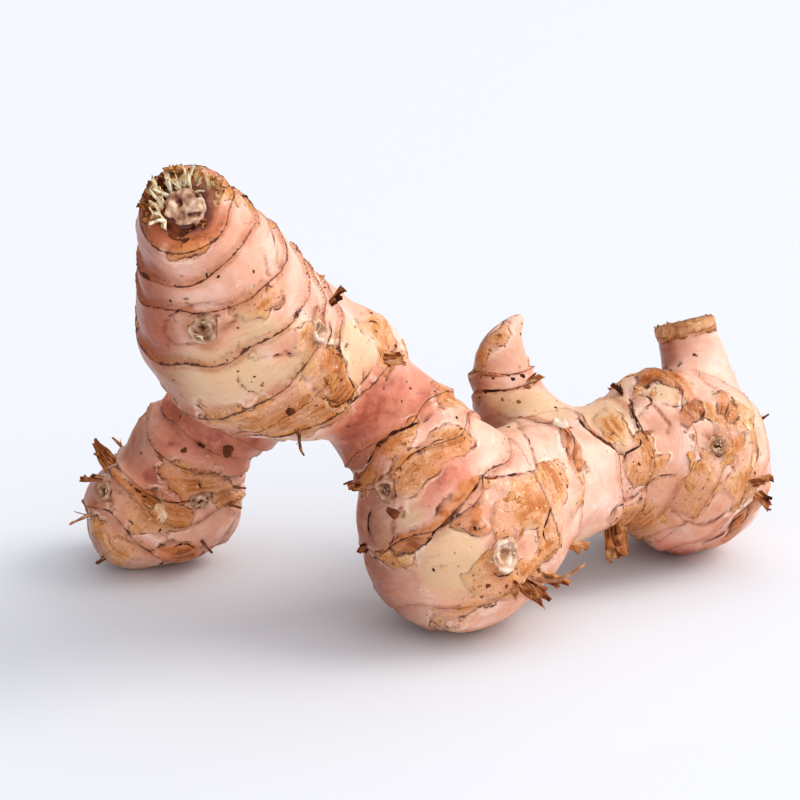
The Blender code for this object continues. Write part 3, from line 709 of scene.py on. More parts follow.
def waves(points, height, longest, count, seed):
    """A sum of sine waves in drawn directions, each shorter and lower than the last."""
    draw = np.random.default_rng(seed)
    total = np.zeros(len(points))
    for i in range(count):
        direction = unit(draw.normal(size=3))
        length = longest * WAVE_SHORTER**i
        phase = draw.uniform(0, 2 * math.pi)
        total += WAVE_LOWER**i * np.sin(2 * math.pi * points @ direction / length + phase)
    return height * total / math.sqrt(count / 2)


def patches(points, size, seed):
    """Drawn values from -1 to 1 on a lattice of that size, blended smoothly between its corners."""
    values = np.random.default_rng(seed).uniform(-1, 1, (LATTICE,) * 3)
    cell = points / size
    corner = np.floor(cell).astype(int)
    part = cell - corner
    part = part * part * (3 - 2 * part)
    total = np.zeros(len(points))
    for step in np.ndindex(2, 2, 2):
        x, y, z = ((corner + step) % LATTICE).T
        total += values[x, y, z] * np.prod(np.where(step, part, 1 - part), axis=1)
    return total


def past_scars(lobes, points, normals, reading):
    """For each leaf scar, how far past it points lie, the lobe's direction and its share of them."""
    wobble = waves(points, *WOBBLE)
    _, _, distances, reach, direction = reading
    for i, lobe in enumerate(lobes):
        rival = np.delete(distances, i, axis=1).min(axis=1)
        owned = np.clip((rival - distances[:, i]) / SCAR_FADE, 0, 1)
        for along, rise_x, rise_z, _ in lobe.scars:
            ring = along + rise_x * normals[:, 0] + rise_z * normals[:, 2] + wobble
            yield reach[:, i] - ring, direction[:, i], owned


def leaf_scars(lobes, points, normals, reading):
    """Rings round each lobe: a slow rise to a lip, a step down towards the tip and a slow recovery."""
    height = np.zeros(len(points))
    for past, _, owned in past_scars(lobes, points, normals, reading):
        fall = np.clip(past / SCAR_WIDTH, 0, 1) * np.exp(-np.clip(past, 0, None) / SCAR_RECOVERY)
        height += owned * (SCAR_LIP * np.exp(-np.abs(past) / SCAR_RISE) - SCAR_STEP * fall)
    return height


def root_scars(points):
    """A raised ring and a dip in its middle, where each root broke off, and how far outside the ring."""
    height = np.zeros(len(points))
    outside = np.full(len(points), -FAR_OUTSIDE)
    for x, y, z, radius in ROOT_SCARS:
        gap = np.linalg.norm(points - (x, y, z), axis=1)
        height += RIM_HEIGHT * np.exp(-(((gap - radius) / RIM_WIDTH) ** 2))
        height -= MIDDLE_DEPTH * np.exp(-((gap / radius / MIDDLE_WIDTH) ** 2))
        outside = np.minimum(outside, gap - radius)
    return height, outside


def stem_hollow(points):
    """A shallow round hollow with a low wall at the tip of the upper lobe, and how far outside the wall."""
    away = points - KNOB_CENTRE
    along = away @ unit(KNOB_AXIS)
    gap = np.sqrt(np.clip((away**2).sum(axis=1) - along**2, 0, None))
    height = WALL_HEIGHT * np.exp(-(((gap - WALL_RADIUS) / WALL_WIDTH) ** 2))
    height -= HOLLOW_DEPTH * np.exp(-((gap / HOLLOW_RADIUS) ** 4))
    return np.where(along > 0, height, 0), np.where(along > 0, gap - WALL_RADIUS, -FAR_OUTSIDE)


def rings(lobes, points, normals, owner, reading):
    """The signed distance to the nearest leaf scar, its ink, the scars passed and the way past the last."""
    wobble = waves(points, *WOBBLE)
    nearest = np.zeros(len(points))
    ink = np.zeros(len(points))
    count = np.zeros(len(points))
    past_last = np.zeros(len(points))
    for i, lobe in enumerate(lobes):
        mine = owner == i
        along, rise_x, rise_z, dark = lobe.scars.T
        tilt = rise_x * normals[mine, :1] + rise_z * normals[mine, 2:]
        places = np.maximum.accumulate(along + tilt + wobble[mine, None], axis=1)
        reach = reading[3][mine, i]
        passed = np.clip((reach[:, None] - places[:, :-1]) / np.diff(places, axis=1), 0, 1).sum(axis=1)
        passed += np.minimum(reach - places[:, 0], 0) / RING_SPACING
        passed += np.maximum(reach - places[:, -1], 0) / RING_SPACING
        index = np.clip(np.round(passed), 0, len(along) - 1).astype(int)
        past = reach - np.take_along_axis(places, index[:, None], axis=1)[:, 0]
        # The sign flips from ring to ring, which leaves no jump between two of them
        nearest[mine] = np.where(index % 2, -past, past)
        ink[mine] = dark[index]
        count[mine] = passed
        last = np.clip(np.floor(passed), 0, len(along) - 1).astype(int)
        past_last[mine] = reach - np.take_along_axis(places, last[:, None], axis=1)[:, 0]
    return nearest, ink, count, past_last


def to_pixels(points):
    """Where the photograph's camera sees points, and how many millimetres a pixel covers there."""
    away = points - EYE
    depth = away @ FORWARD
    across = PHOTO_SIDE / 2 + FOCAL * (away @ RIGHT) / depth
    down = PHOTO_SIDE / 2 - FOCAL * (away @ UP) / depth
    return np.stack([across, down], axis=1), depth / FOCAL


def run_gaps(pixels, starts, ends):
    """Each pixel's distance to each of some straight runs."""
    run = ends - starts
    away = pixels[:, None] - starts
    share = np.clip((away * run).sum(axis=2) / (run**2).sum(axis=1), 0, 1)
    return np.linalg.norm(away - share[:, :, None] * run, axis=2)


def depth_inside(pixels, outline):
    """How far pixels lie inside an outline of straight runs, negative outside it."""
    starts = np.array(outline, float)
    ends = np.roll(starts, -1, axis=0)
    gap = run_gaps(pixels, starts, ends).min(axis=1)
    x, y = pixels[:, :1], pixels[:, 1:]
    rise = np.where(ends[:, 1] == starts[:, 1], 1, ends[:, 1] - starts[:, 1])
    crossing = starts[:, 0] + (y - starts[:, 1]) * (ends[:, 0] - starts[:, 0]) / rise
    crossed = ((starts[:, 1] <= y) != (ends[:, 1] <= y)) & (x < crossing)
    return np.where(crossed.sum(axis=1) % 2, gap, -gap)


def marked(marks, pixels, millimetres, facing, owner, names):
    """How far points lie inside the nearest of some marks, in millimetres, negative outside them."""
    found = np.full(len(pixels), FAR_OUTSIDE)
    for lobes, outline in marks:
        low = np.min(outline, axis=0) - REACH_OF_MARK
        high = np.max(outline, axis=0) + REACH_OF_MARK
        wanted = np.isin(owner, [names.index(name) for name in lobes.split()])
        wanted &= ((pixels > low) & (pixels < high)).all(axis=1)
        inside = depth_inside(pixels[wanted], outline) * millimetres[wanted]
        inside -= HORIZON_FALL * np.clip(HORIZON - facing[wanted], 0, None)
        found[wanted] = np.maximum(found[wanted], inside)
    return found


def ramp(values, start, end):
    """0 at the start, 1 at the end, and smooth between."""
    t = np.clip((values - start) / (end - start), 0, 1)
    return t * t * (3 - 2 * t)


def tube_rows(lobe):
    """A circle carried along the lobe's centre line, with round ends."""
    side = unit(np.cross(lobe.tangents, (0.31, 0.89, 0.33)))
    other = np.cross(lobe.tangents, side)
    rise = np.linspace(0, math.pi / 2, CAP_ROWS)[1:, None]
    start, end = lobe.radii[0], lobe.radii[-1]
    centres = np.vstack([
        lobe.centres[0] - np.sin(rise[::-1]) * start * lobe.tangents[0],
        lobe.centres,
        lobe.centres[-1] + np.sin(rise) * end * lobe.tangents[-1],
    ])
    radii = np.concatenate([np.cos(rise[::-1, 0]) * start, lobe.radii, np.cos(rise[:, 0]) * end])
    side = np.vstack([side[:1].repeat(CAP_ROWS - 1, 0), side, side[-1:].repeat(CAP_ROWS - 1, 0)])
    other = np.vstack([other[:1].repeat(CAP_ROWS - 1, 0), other, other[-1:].repeat(CAP_ROWS - 1, 0)])
    turn = np.linspace(0, 2 * math.pi, TUBE_SIDES, endpoint=False)[:, None]
    circle = np.cos(turn) * side[:, None] + np.sin(turn) * other[:, None]
    return centres[:, None] + radii[:, None, None] * circle


class Grids:
    """Grids of points gathered for one mesh, with quads between neighbours, and values at the points."""

    def __init__(self):
        self.points = []
        self.faces = []
        self.values = []
        self.count = 0

    def add(self, grid, wrap=False, flip=False, **values):
        """Adds a grid; wrap joins its last column to its first, and flip turns its faces over."""
        rows, columns = grid.shape[:2]
        index = self.count + np.arange(rows * columns).reshape(rows, columns)
        if wrap:
            index = np.concatenate([index, index[:, :1]], axis=1)
        quads = np.stack([index[:-1, :-1], index[:-1, 1:], index[1:, 1:], index[1:, :-1]], axis=-1)
        if flip:
            quads = quads[..., ::-1]
        self.points.append(grid.reshape(-1, 3))
        self.faces.append(quads.reshape(-1, 4))
        spread = {name: np.broadcast_to(value, (rows, columns)) for name, value in values.items()}
        self.values.append({name: value.ravel() for name, value in spread.items()})
        self.count += rows * columns

    def mesh(self, name):
        """The gathered grids as one mesh in metres, with its poles and seams welded."""
        mesh = bpy.data.meshes.new(name)
        mesh.from_pydata(np.vstack(self.points) * MM, [], np.vstack(self.faces).tolist())
        for key in self.values[0]:
            store(mesh, key, np.concatenate([value[key] for value in self.values]))
        welded = bmesh.new()
        welded.from_mesh(mesh)
        bmesh.ops.remove_doubles(welded, verts=welded.verts, dist=WELD * MM)
        welded.to_mesh(mesh)
        welded.free()
        return mesh

    def settle(self, name, material, thickness=0):
        """Makes the gathered grids a finished piece; an open sheet gets its thickness, half to each side."""
        piece = settle(name, self.mesh(name), material)
        if thickness:
            wall = piece.modifiers.new("Thickness", "SOLIDIFY")
            wall.thickness = thickness * MM
            wall.offset = 0


def store(mesh, name, values):
    """Keeps one number a point in the mesh, for its material to read."""
    mesh.attributes.new(name, "FLOAT", "POINT").data.foreach_set("value", values.astype(np.float32))


def settle(name, mesh, material):
    """Makes a finished piece of a mesh: linked, smooth, riding on the rhizome's body with its finish."""
    piece = bpy.data.objects.new(name, mesh)
    bpy.context.scene.collection.objects.link(piece)
    mesh.materials.append(material)
    mesh.shade_smooth()
    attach(piece, BODY)
    return piece


def remnants(points, past_last, facing):
    """Bits of film and of thick scale left past each leaf scar, on the sides turned from the photograph."""
    hidden = ramp(facing, HIDDEN_FROM, HIDDEN_FROM - HIDDEN_RUN)
    share = patches(points, REMNANT_SIZE, 31) + 0.5 * patches(points, REMNANT_SIZE / 2, 32)
    reach = REMNANT_REACH * (share + REMNANT_SHARE)
    film = np.minimum(past_last + 0.3, reach - past_last)
    thick = REMNANT_REACH * (patches(points, REMNANT_SIZE * 0.8, 33) - THICK_SHARE)
    scale = np.minimum(past_last + 0.3, thick - past_last)
    away = FAR_OUTSIDE * (1 - hidden)
    return np.clip(film, FAR_OUTSIDE, 3) + away, np.clip(scale, FAR_OUTSIDE, 3) + away


def crack_gaps(pixels, millimetres, facing):
    """The distance to the nearest crack, in millimetres."""
    found = np.full(len(pixels), -FAR_OUTSIDE)
    for _, route in CRACKS_AND_SHADE:
        route = np.array(route, float)
        near = (pixels > route.min(axis=0) - REACH_OF_MARK) & (pixels < route.max(axis=0) + REACH_OF_MARK)
        wanted = near.all(axis=1) & (facing > 0)
        gap = run_gaps(pixels[wanted], route[:-1], route[1:]).min(axis=1) * millimetres[wanted]
        found[wanted] = np.minimum(found[wanted], gap)
    return found


def skin_fields(lobes, points, normals, reading):
    """What each point of the skin is: signed distances in millimetres, and shares from 0 to 1."""
    names = list(LOBES)
    owner = reading[2].argmin(axis=1)
    ordered = np.sort(reading[2], axis=1)
    owned = np.clip((ordered[:, 1] - ordered[:, 0]) / SCAR_FADE, 0, 1)
    pixels, millimetres = to_pixels(points)
    facing = (unit(EYE - points) * normals).sum(axis=1)
    torn = sum(height * patches(points, size, seed) for size, height, seed in TEARS)
    nearest, ink, count, past_last = rings(lobes, points, normals, owner, reading)
    old_film, old_scale = remnants(points, past_last, facing)

    seen = (pixels, millimetres, facing, owner, names)
    flaky = marked(FLAKES, *seen) > 0
    flakes = 5.0 * (patches(points, 4.2, 41) - 0.08) - 0.3 * np.abs(torn)
    film = np.maximum(marked(FILMS, *seen), old_film) + torn
    film = np.maximum(film, np.where(flaky, flakes, FAR_OUTSIDE))
    scale = np.maximum(marked(SCALES, *seen), old_scale) + 0.6 * torn
    hidden = ramp(facing, HIDDEN_FROM, HIDDEN_FROM - HIDDEN_RUN)
    cream = ramp(marked(CREAMS, *seen) + torn, -2.5, 2.0)
    cream = np.maximum(cream, hidden * ramp(patches(points, 17.0, 42), 0.05, 0.7))
    # Red marks: partly the skin's own red and partly painted shade, with random red on the hidden sides
    blush_and_shade = ramp(marked(BLUSHES_AND_SHADE, *seen) + torn, -4.0, 3.0)
    blush_and_shade = np.maximum(blush_and_shade, 0.7 * hidden * ramp(patches(points, 19.0, 43), 0.1, 0.7))
    return {
        "film": film,
        "scale": scale,
        "ring": np.clip(nearest, -4, 4),
        "ink": ink * owned,
        "lines": count * RING_SPACING,
        "cream": cream,
        "blush_and_shade": blush_and_shade,
        # Painted shade, browner on the side turned from the light
        "painted_shade_side": ramp(normals @ unit(SHADE_SIDE_FACING), SHADE_SIDE_FROM, SHADE_SIDE_TO),
        "root_scar": root_scars(points)[1],
        "hollow": stem_hollow(points)[1],
        "crack": crack_gaps(pixels, millimetres, facing),
        "cut": past_cut(points),
    }


def relief(lobes, points, normals, reading, fields):
    """How far the skin stands out: lumps, leaf scars, root scars, and the thickness of film and scale."""
    height = waves(points, *LUMPS) + root_scars(points)[0] + stem_hollow(points)[0]
    height += leaf_scars(lobes, points, normals, reading)
    height += FILM_STAND * ramp(fields["film"], -EDGE_RUN / 2, EDGE_RUN)
    height += SCALE_STAND * ramp(fields["scale"], -EDGE_RUN / 2, EDGE_RUN)
    height += FILM_WRINKLE * patches(points, 2.2, 51) * ramp(fields["film"], -1, 1)
    height += DENT * patches(points, 4.5, 52)
    height -= CRACK_DEPTH * ramp(fields["crack"], CRACK_SIDE, 0)
    return height


def past_cut(points):
    """How far points lie above the stub's cut, in millimetres, negative below it and away from the stub."""
    above = (points - CUT_CENTRE) @ unit(CUT_FACING)
    return np.where(np.linalg.norm(points - CUT_CENTRE, axis=1) < CUT_REACH, above, -CUT_REACH)


def on_top(lobes, points, lift):
    """Points laid on the finished skin and lifted off it, and the smooth skin's normals there."""
    shape = points.shape
    points, normals = pull_to_skin(lobes, points.reshape(-1, 3))
    reading = read_skin(lobes, points)
    fields = skin_fields(lobes, points, normals, reading)
    height = relief(lobes, points, normals, reading, fields) + np.broadcast_to(lift, shape[:-1]).ravel()
    return (points + height[:, None] * normals).reshape(shape), normals.reshape(shape)


def cast(lobes, pixels):
    """Where rays from the photograph's camera come to the smooth skin, and which of them do.

    Each point walks down its ray by its distance to the skin, again and again.
    """
    aside = (pixels[:, :1] - PHOTO_SIDE / 2) / FOCAL
    above = (PHOTO_SIDE / 2 - pixels[:, 1:]) / FOCAL
    rays = unit(FORWARD + aside * RIGHT + above * UP)
    walked = np.full(len(pixels), WALK_FROM)
    for _ in range(WALK_STEPS):
        gap = read_skin(lobes, EYE + walked[:, None] * rays)[0]
        walked = np.minimum(walked + gap, WALK_TO)
    return EYE + walked[:, None] * rays, np.abs(gap) < WALK_GAP


def merged_lobes(lobes, voxel):
    """Tubes along every lobe, merged into one closed mesh by a voxel remesh."""
    tubes = Grids()
    for lobe in lobes:
        tubes.add(tube_rows(lobe), wrap=True, lobe=0)
    piece = bpy.data.objects.new("galangal_skin", tubes.mesh("galangal_skin"))
    bpy.context.scene.collection.objects.link(piece)
    remesh = piece.modifiers.new("Merge the lobes", "REMESH")
    remesh.mode = "VOXEL"
    remesh.voxel_size = voxel
    graph = bpy.context.evaluated_depsgraph_get()
    mesh = bpy.data.meshes.new_from_object(piece.evaluated_get(graph))
    bpy.data.objects.remove(piece)
    return mesh


def make_lobes():
    """The lobes that all pieces are worked out from."""
    return [Lobe(balls, SCARS[name]) for name, balls in LOBES.items()]


def make_skin(settings):
    """The whole rhizome's surface, with what its material reads kept at its points."""
    lobes = make_lobes()
    mesh = merged_lobes(lobes, settings.fineness * (1))
    points = np.empty(len(mesh.vertices) * 3)
    mesh.vertices.foreach_get("co", points)
    points, normals = pull_to_skin(lobes, points.reshape(-1, 3) / MM)
    reading = read_skin(lobes, points)
    fields = skin_fields(lobes, points, normals, reading)
    points = points + relief(lobes, points, normals, reading, fields)[:, None] * normals
    over = np.where(fields["cut"] > 0, (points - CUT_CENTRE) @ unit(CUT_FACING), 0)
    points -= np.clip(over, 0, None)[:, None] * unit(CUT_FACING)
    points[:, 2] = np.clip(points[:, 2], 0, None)
    mesh.vertices.foreach_set("co", (points * MM).ravel())
    mesh.update()
    for attribute in list(mesh.attributes):
        if attribute.name == "lobe":
            mesh.attributes.remove(attribute)
    for name, values in fields.items():
        store(mesh, name, values)
    mesh.name = "galangal_skin"
    piece = settle("galangal_skin", mesh, wet_skin(settings))
    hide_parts(NODE)


def blade(root, normal, heading, length, width, lift, draw, rows=14, columns=7, sink=RAG_ROOT):
    """A torn blade of dry sheath: u runs from its root to its tip, and v across it.

    It rises from the skin as u to a power, is cupped across, narrows to its tip, and its tip is torn into
    teeth of drawn lengths. Its sides waver, and it is rippled across its run.
    """
    across = unit(np.cross(heading, normal))
    forward = np.cross(normal, across)
    u = np.linspace(0, 1, rows)[:, None]
    v = np.linspace(-1, 1, columns)[None]
    teeth = draw.uniform(0.0, 0.3, columns) * (columns > 3)
    out = lift * length * u**RAG_BEND - sink * (1 - u) ** 2 + RAG_CUP * width * v**2
    out = out + 0.06 * length * u * np.sin(5 * u + draw.uniform(0, 6)) * (0.4 + v * draw.uniform(-1, 1))
    wide = v * width / 2 * (1 - RAG_TAPER * u**RAG_BEND)
    wide = wide * (1 + 0.22 * np.sin(9 * u + draw.uniform(0, 6)) * u)
    aside = 0.12 * length * draw.uniform(-1, 1) * u**2
    reach = length * u * (1 - RAG_TEAR * u * abs(v - RAG_TEAR_SIDE)) * (1 - teeth * u**4)
    shape = (rows, columns, 1)
    return (
        root
        + forward * np.broadcast_to(reach, shape[:2]).reshape(shape)
        + across * np.broadcast_to(wide + aside, shape[:2]).reshape(shape)
        + normal * np.broadcast_to(out, shape[:2]).reshape(shape)
    )


def add_blade(grids, grid, tone, draw):
    """Adds a blade's grid, with its tone from root to tip and how far each point is along and across it."""
    rows, columns = grid.shape[:2]
    length = np.linalg.norm(grid[-1, columns // 2] - grid[0, columns // 2])
    width = np.linalg.norm(grid[0, -1] - grid[0, 0])
    u = np.linspace(0, 1, rows)[:, None]
    v = np.linspace(-0.5, 0.5, columns)[None]
    edge = 0.25 * np.abs(2 * v) ** 4 + 0.2 * u**3
    grids.add(grid, tone=tone + edge, run=u * length + draw.uniform(0, 90), side=v * width + 0 * u)


def make_scraps():
    """Papery rags of old leaf sheath that stand off the skin, where the solid has its own."""
    lobes = make_lobes()
    draw = np.random.default_rng(71)
    grids = Grids()
    roots, normals = pull_to_skin(lobes, np.array([rag[0] for rag in RAGS], float))
    for (_, heading, length, width, lift), tone, root, normal in zip(RAGS, RAG_TONES, roots, normals):
        grid = blade(root, normal, unit(heading), length, width, lift, draw, rows=18, columns=11)
        add_blade(grids, grid, tone - 0.2, draw)
        # Narrow shreds beside each rag, and more where it is narrow itself
        for turn in draw.uniform(-0.9, 0.9, NARROW_SHREDS if width < NARROW_RAG else RAG_SHREDS):
            aside = unit(heading) + turn * np.cross(normal, unit(heading))
            place = root + draw.uniform(-0.35, 0.35) * width * unit(np.cross(normal, heading))
            short = length * draw.uniform(0.3, 0.7)
            shred = blade(place, normal, unit(aside), short, width * 0.2, lift + 0.15, draw)
            add_blade(grids, shred, tone + draw.uniform(-0.35, 0.15), draw)
    grids.settle("sheath_scraps", dry_tissue("Papery leaf sheath", SHEATH_TINTS), SCRAP_THICKNESS)


def flake_places(lobes, draw):
    """Drawn points of the skin: in the photograph's flaky regions, in its films, and on its hidden sides."""
    pixels = []
    for marks, count in ((FLAKES, FLAKES_IN_REGION), (FILMS, FLAKES_IN_FILM)):
        for _, outline in marks:
            low, high = np.min(outline, axis=0), np.max(outline, axis=0)
            tried = draw.uniform(low, high, (count, 2))
            pixels.append(tried[depth_inside(tried, outline) > 1])
    seen, hit = cast(lobes, np.vstack(pixels))
    return np.vstack([seen[hit], hidden_places(lobes, draw, FLAKES_HIDDEN)])


def hidden_places(lobes, draw, count, all_round=False):
    """Drawn points of the skin that the photograph doesn't show, or of all of it."""
    balls = np.vstack([np.hstack([lobe.centres, lobe.radii[:, None]]) for lobe in lobes])
    balls = balls[past_cut(balls[:, :3]) < -CLEAR_OF_CUT]
    chosen = balls[draw.integers(0, len(balls), TRIES * count)]
    outward = unit(draw.normal(size=(TRIES * count, 3)))
    points, normals = pull_to_skin(lobes, chosen[:, :3] + chosen[:, 3:] * outward)
    gap = np.abs(read_skin(lobes, points)[0])
    facing = (unit(EYE - points) * normals).sum(axis=1)
    wanted = (gap < ON_SKIN) & (points[:, 2] > CLEAR_OF_FLOOR) & (past_cut(points) < -CLEAR_OF_RIM)
    wanted &= all_round | (facing < HIDDEN_FROM)
    return points[wanted][:count]


def make_flakes():
    """Small torn flakes of film that hug the skin, each with one edge curled up off it.

    A flake's width swells and shrinks along it as the root of a sine, with a drawn waver.
    """
    lobes = make_lobes()
    draw = np.random.default_rng(72)
    places = flake_places(lobes, draw)
    points, normals = pull_to_skin(lobes, places)
    reading = read_skin(lobes, points)
    owner = reading[2].argmin(axis=1)
    along = reading[4][np.arange(len(points)), owner]
    count = len(points)
    turn = draw.normal(0, 0.5, (count, 1))
    across = unit(np.cross(normals, along))
    forward = unit(across + turn * along)
    aside = np.cross(normals, forward)
    length = draw.uniform(1.2, 4.4, (count, 1, 1))
    width = length * draw.uniform(0.25, 0.7, (count, 1, 1))
    curl = draw.uniform(0.0, 0.8, (count, 1, 1)) ** 3
    u = np.linspace(0, 1, FLAKE_ROWS)[None, :, None]
    v = np.linspace(-1, 1, FLAKE_COLUMNS)[None, None]
    waver = 1 + 0.35 * np.sin(u * draw.uniform(6, 12, (count, 1, 1)) + draw.uniform(0, 6, (count, 1, 1)))
    half = np.sqrt(np.sin(math.pi * u)) * waver * width / 2
    sideways = v * half + 0.25 * width * np.sin(3 * u + draw.uniform(0, 6, (count, 1, 1)))
    grid = points[:, None, None] + forward[:, None, None] * (length * (u - 0.5))[..., None]
    grid = grid + aside[:, None, None] * sideways[..., None]
    lift = FLAKE_LIFT + curl * np.clip(v, -0.2, 1) ** 2 * (0.3 + u) * width * 0.5
    lift = lift * np.sin(math.pi * u) ** 0.3 - 0.05
    grid, _ = on_top(lobes, grid, lift)
    tone = draw.uniform(0.15, 0.7, (count, 1, 1)) + 0.15 * np.abs(v) ** 3
    run = length * u + draw.uniform(0, 90, (count, 1, 1))
    grids = Grids()
    for i in range(count):
        grids.add(grid[i], flip=True, tone=tone[i] + 0 * u[0], run=run[i] + 0 * v[0], side=sideways[i])
    grids.settle("film_flakes", dry_tissue("Thin sheath film", FILM_TINTS), FLAKE_THICKNESS)


def make_cracks():
    """Dark torn edges: low ridges along routes on the skin, as wide as a drawn wave lets them be. The
    widest, under the knob, is partly painted shade.

    Across a ridge its height is one less the square of v, and its width tapers to its ends as a root of a
    sine.
    """
    lobes = make_lobes()
    routes = [smooth_run(route, CRACK_STEP) for _, route in CRACKS_AND_SHADE]
    points, hit = cast(lobes, np.vstack(routes))
    ends = np.cumsum([len(route) for route in routes])[:-1]
    rows, tones, widths = [], [], []
    for (half, _), some, met in zip(CRACKS_AND_SHADE, np.split(points, ends), np.split(hit, ends)):
        some = some[met]
        if len(some) < SHORTEST_CRACK:
            continue
        some = some + CRACK_WIGGLE * np.stack([patches(some, 1.6, seed) for seed in (91, 92, 93)], axis=1)
        t = np.linspace(0, 1, len(some))
        rows.append(some)
        tones.append(0.8 * ramp(patches(some, 2.4, 62), -0.6, 0.6))
        swell = 0.4 + 1.2 * ramp(patches(some, 1.1, 61) + 0.7 * patches(some, 3.1, 63), -0.6, 0.8)
        widths.append(CRACK_WIDTH * half * np.sin(math.pi * (0.03 + 0.94 * t)) ** 0.5 * swell)
    v = np.linspace(-1, 1, CRACK_COLUMNS)
    grids = Grids()
    centres = np.vstack(rows)
    _, normals = pull_to_skin(lobes, centres)
    ends = np.cumsum([len(some) for some in rows])[:-1]
    tangents = np.vstack([unit(np.gradient(some, axis=0)) for some in rows])
    across = unit(np.cross(normals, tangents))
    wide = np.concatenate(widths)
    grid = centres[:, None] + across[:, None] * (v[:, None] * wide[:, None, None])
    lift = CRACK_STAND * (1 - v**2) * np.clip(wide[:, None] / 0.2, 0.3, 1.6) - 0.04
    grid, _ = on_top(lobes, grid, lift)
    tone = np.concatenate(tones)[:, None] + 0 * v
    parts = zip(np.split(grid, ends), np.split(tone, ends), np.split(wide, ends))
    for some, shade, half in parts:
        run = np.arange(len(some))[:, None] * 0.37 + 0 * v
        grids.add(some, flip=True, tone=shade, run=run, side=v * half[:, None])
    grids.settle("torn_edges_and_shade", dry_tissue("Dark torn sheath edge and painted shade", DARK_TINTS))


def make_crumbs():
    """Crumbs and dark specks stuck to the skin: low domes with wavering outlines."""
    lobes = make_lobes()
    draw = np.random.default_rng(73)
    marks = np.array(SPOTS, float)
    seen, hit = cast(lobes, marks[:, :2])
    strewn = hidden_places(lobes, draw, CRUMBS, all_round=True)
    centres = np.vstack([seen[hit], strewn])
    radii = np.concatenate([marks[hit, 2], draw.uniform(0.35, 1.0, len(strewn)) ** 2 * CRUMB_RADIUS])
    centres, normals = pull_to_skin(lobes, centres)
    count = len(centres)
    side = unit(np.cross(normals, (0.36, 0.48, 0.8)))
    other = np.cross(normals, side)
    rho = np.array((0.0, 0.45, 0.8, 1.0))[None, :, None]
    turn = np.linspace(0, 2 * math.pi, CRUMB_SIDES, endpoint=False)[None, None]
    phase = draw.uniform(0, 6, (2, count, 1, 1))
    waver = 1 + 0.22 * np.sin(2 * turn + phase[0]) + 0.16 * np.sin(3 * turn + phase[1])
    reach = radii[:, None, None] * rho * waver
    grid = centres[:, None, None] + side[:, None, None] * (reach * np.cos(turn))[..., None]
    grid = grid + other[:, None, None] * (reach * np.sin(turn))[..., None]
    height = np.minimum(radii * draw.uniform(0.3, 0.8, count), 0.45)[:, None, None]
    grid, _ = on_top(lobes, grid, height * (1 - rho**2) - 0.05 + 0 * turn)
    tone = draw.uniform(0, 1, (count, 1, 1)) + 0 * (rho + turn)
    grids = Grids()
    for i in range(count):
        grids.add(grid[i], wrap=True, flip=True, tone=tone[i], run=tone[i] * 60, side=rho[0] + 0 * turn[0])
    grids.settle("crumbs", dry_tissue("Dark crumb of earth and sheath", CRUMB_TINTS))


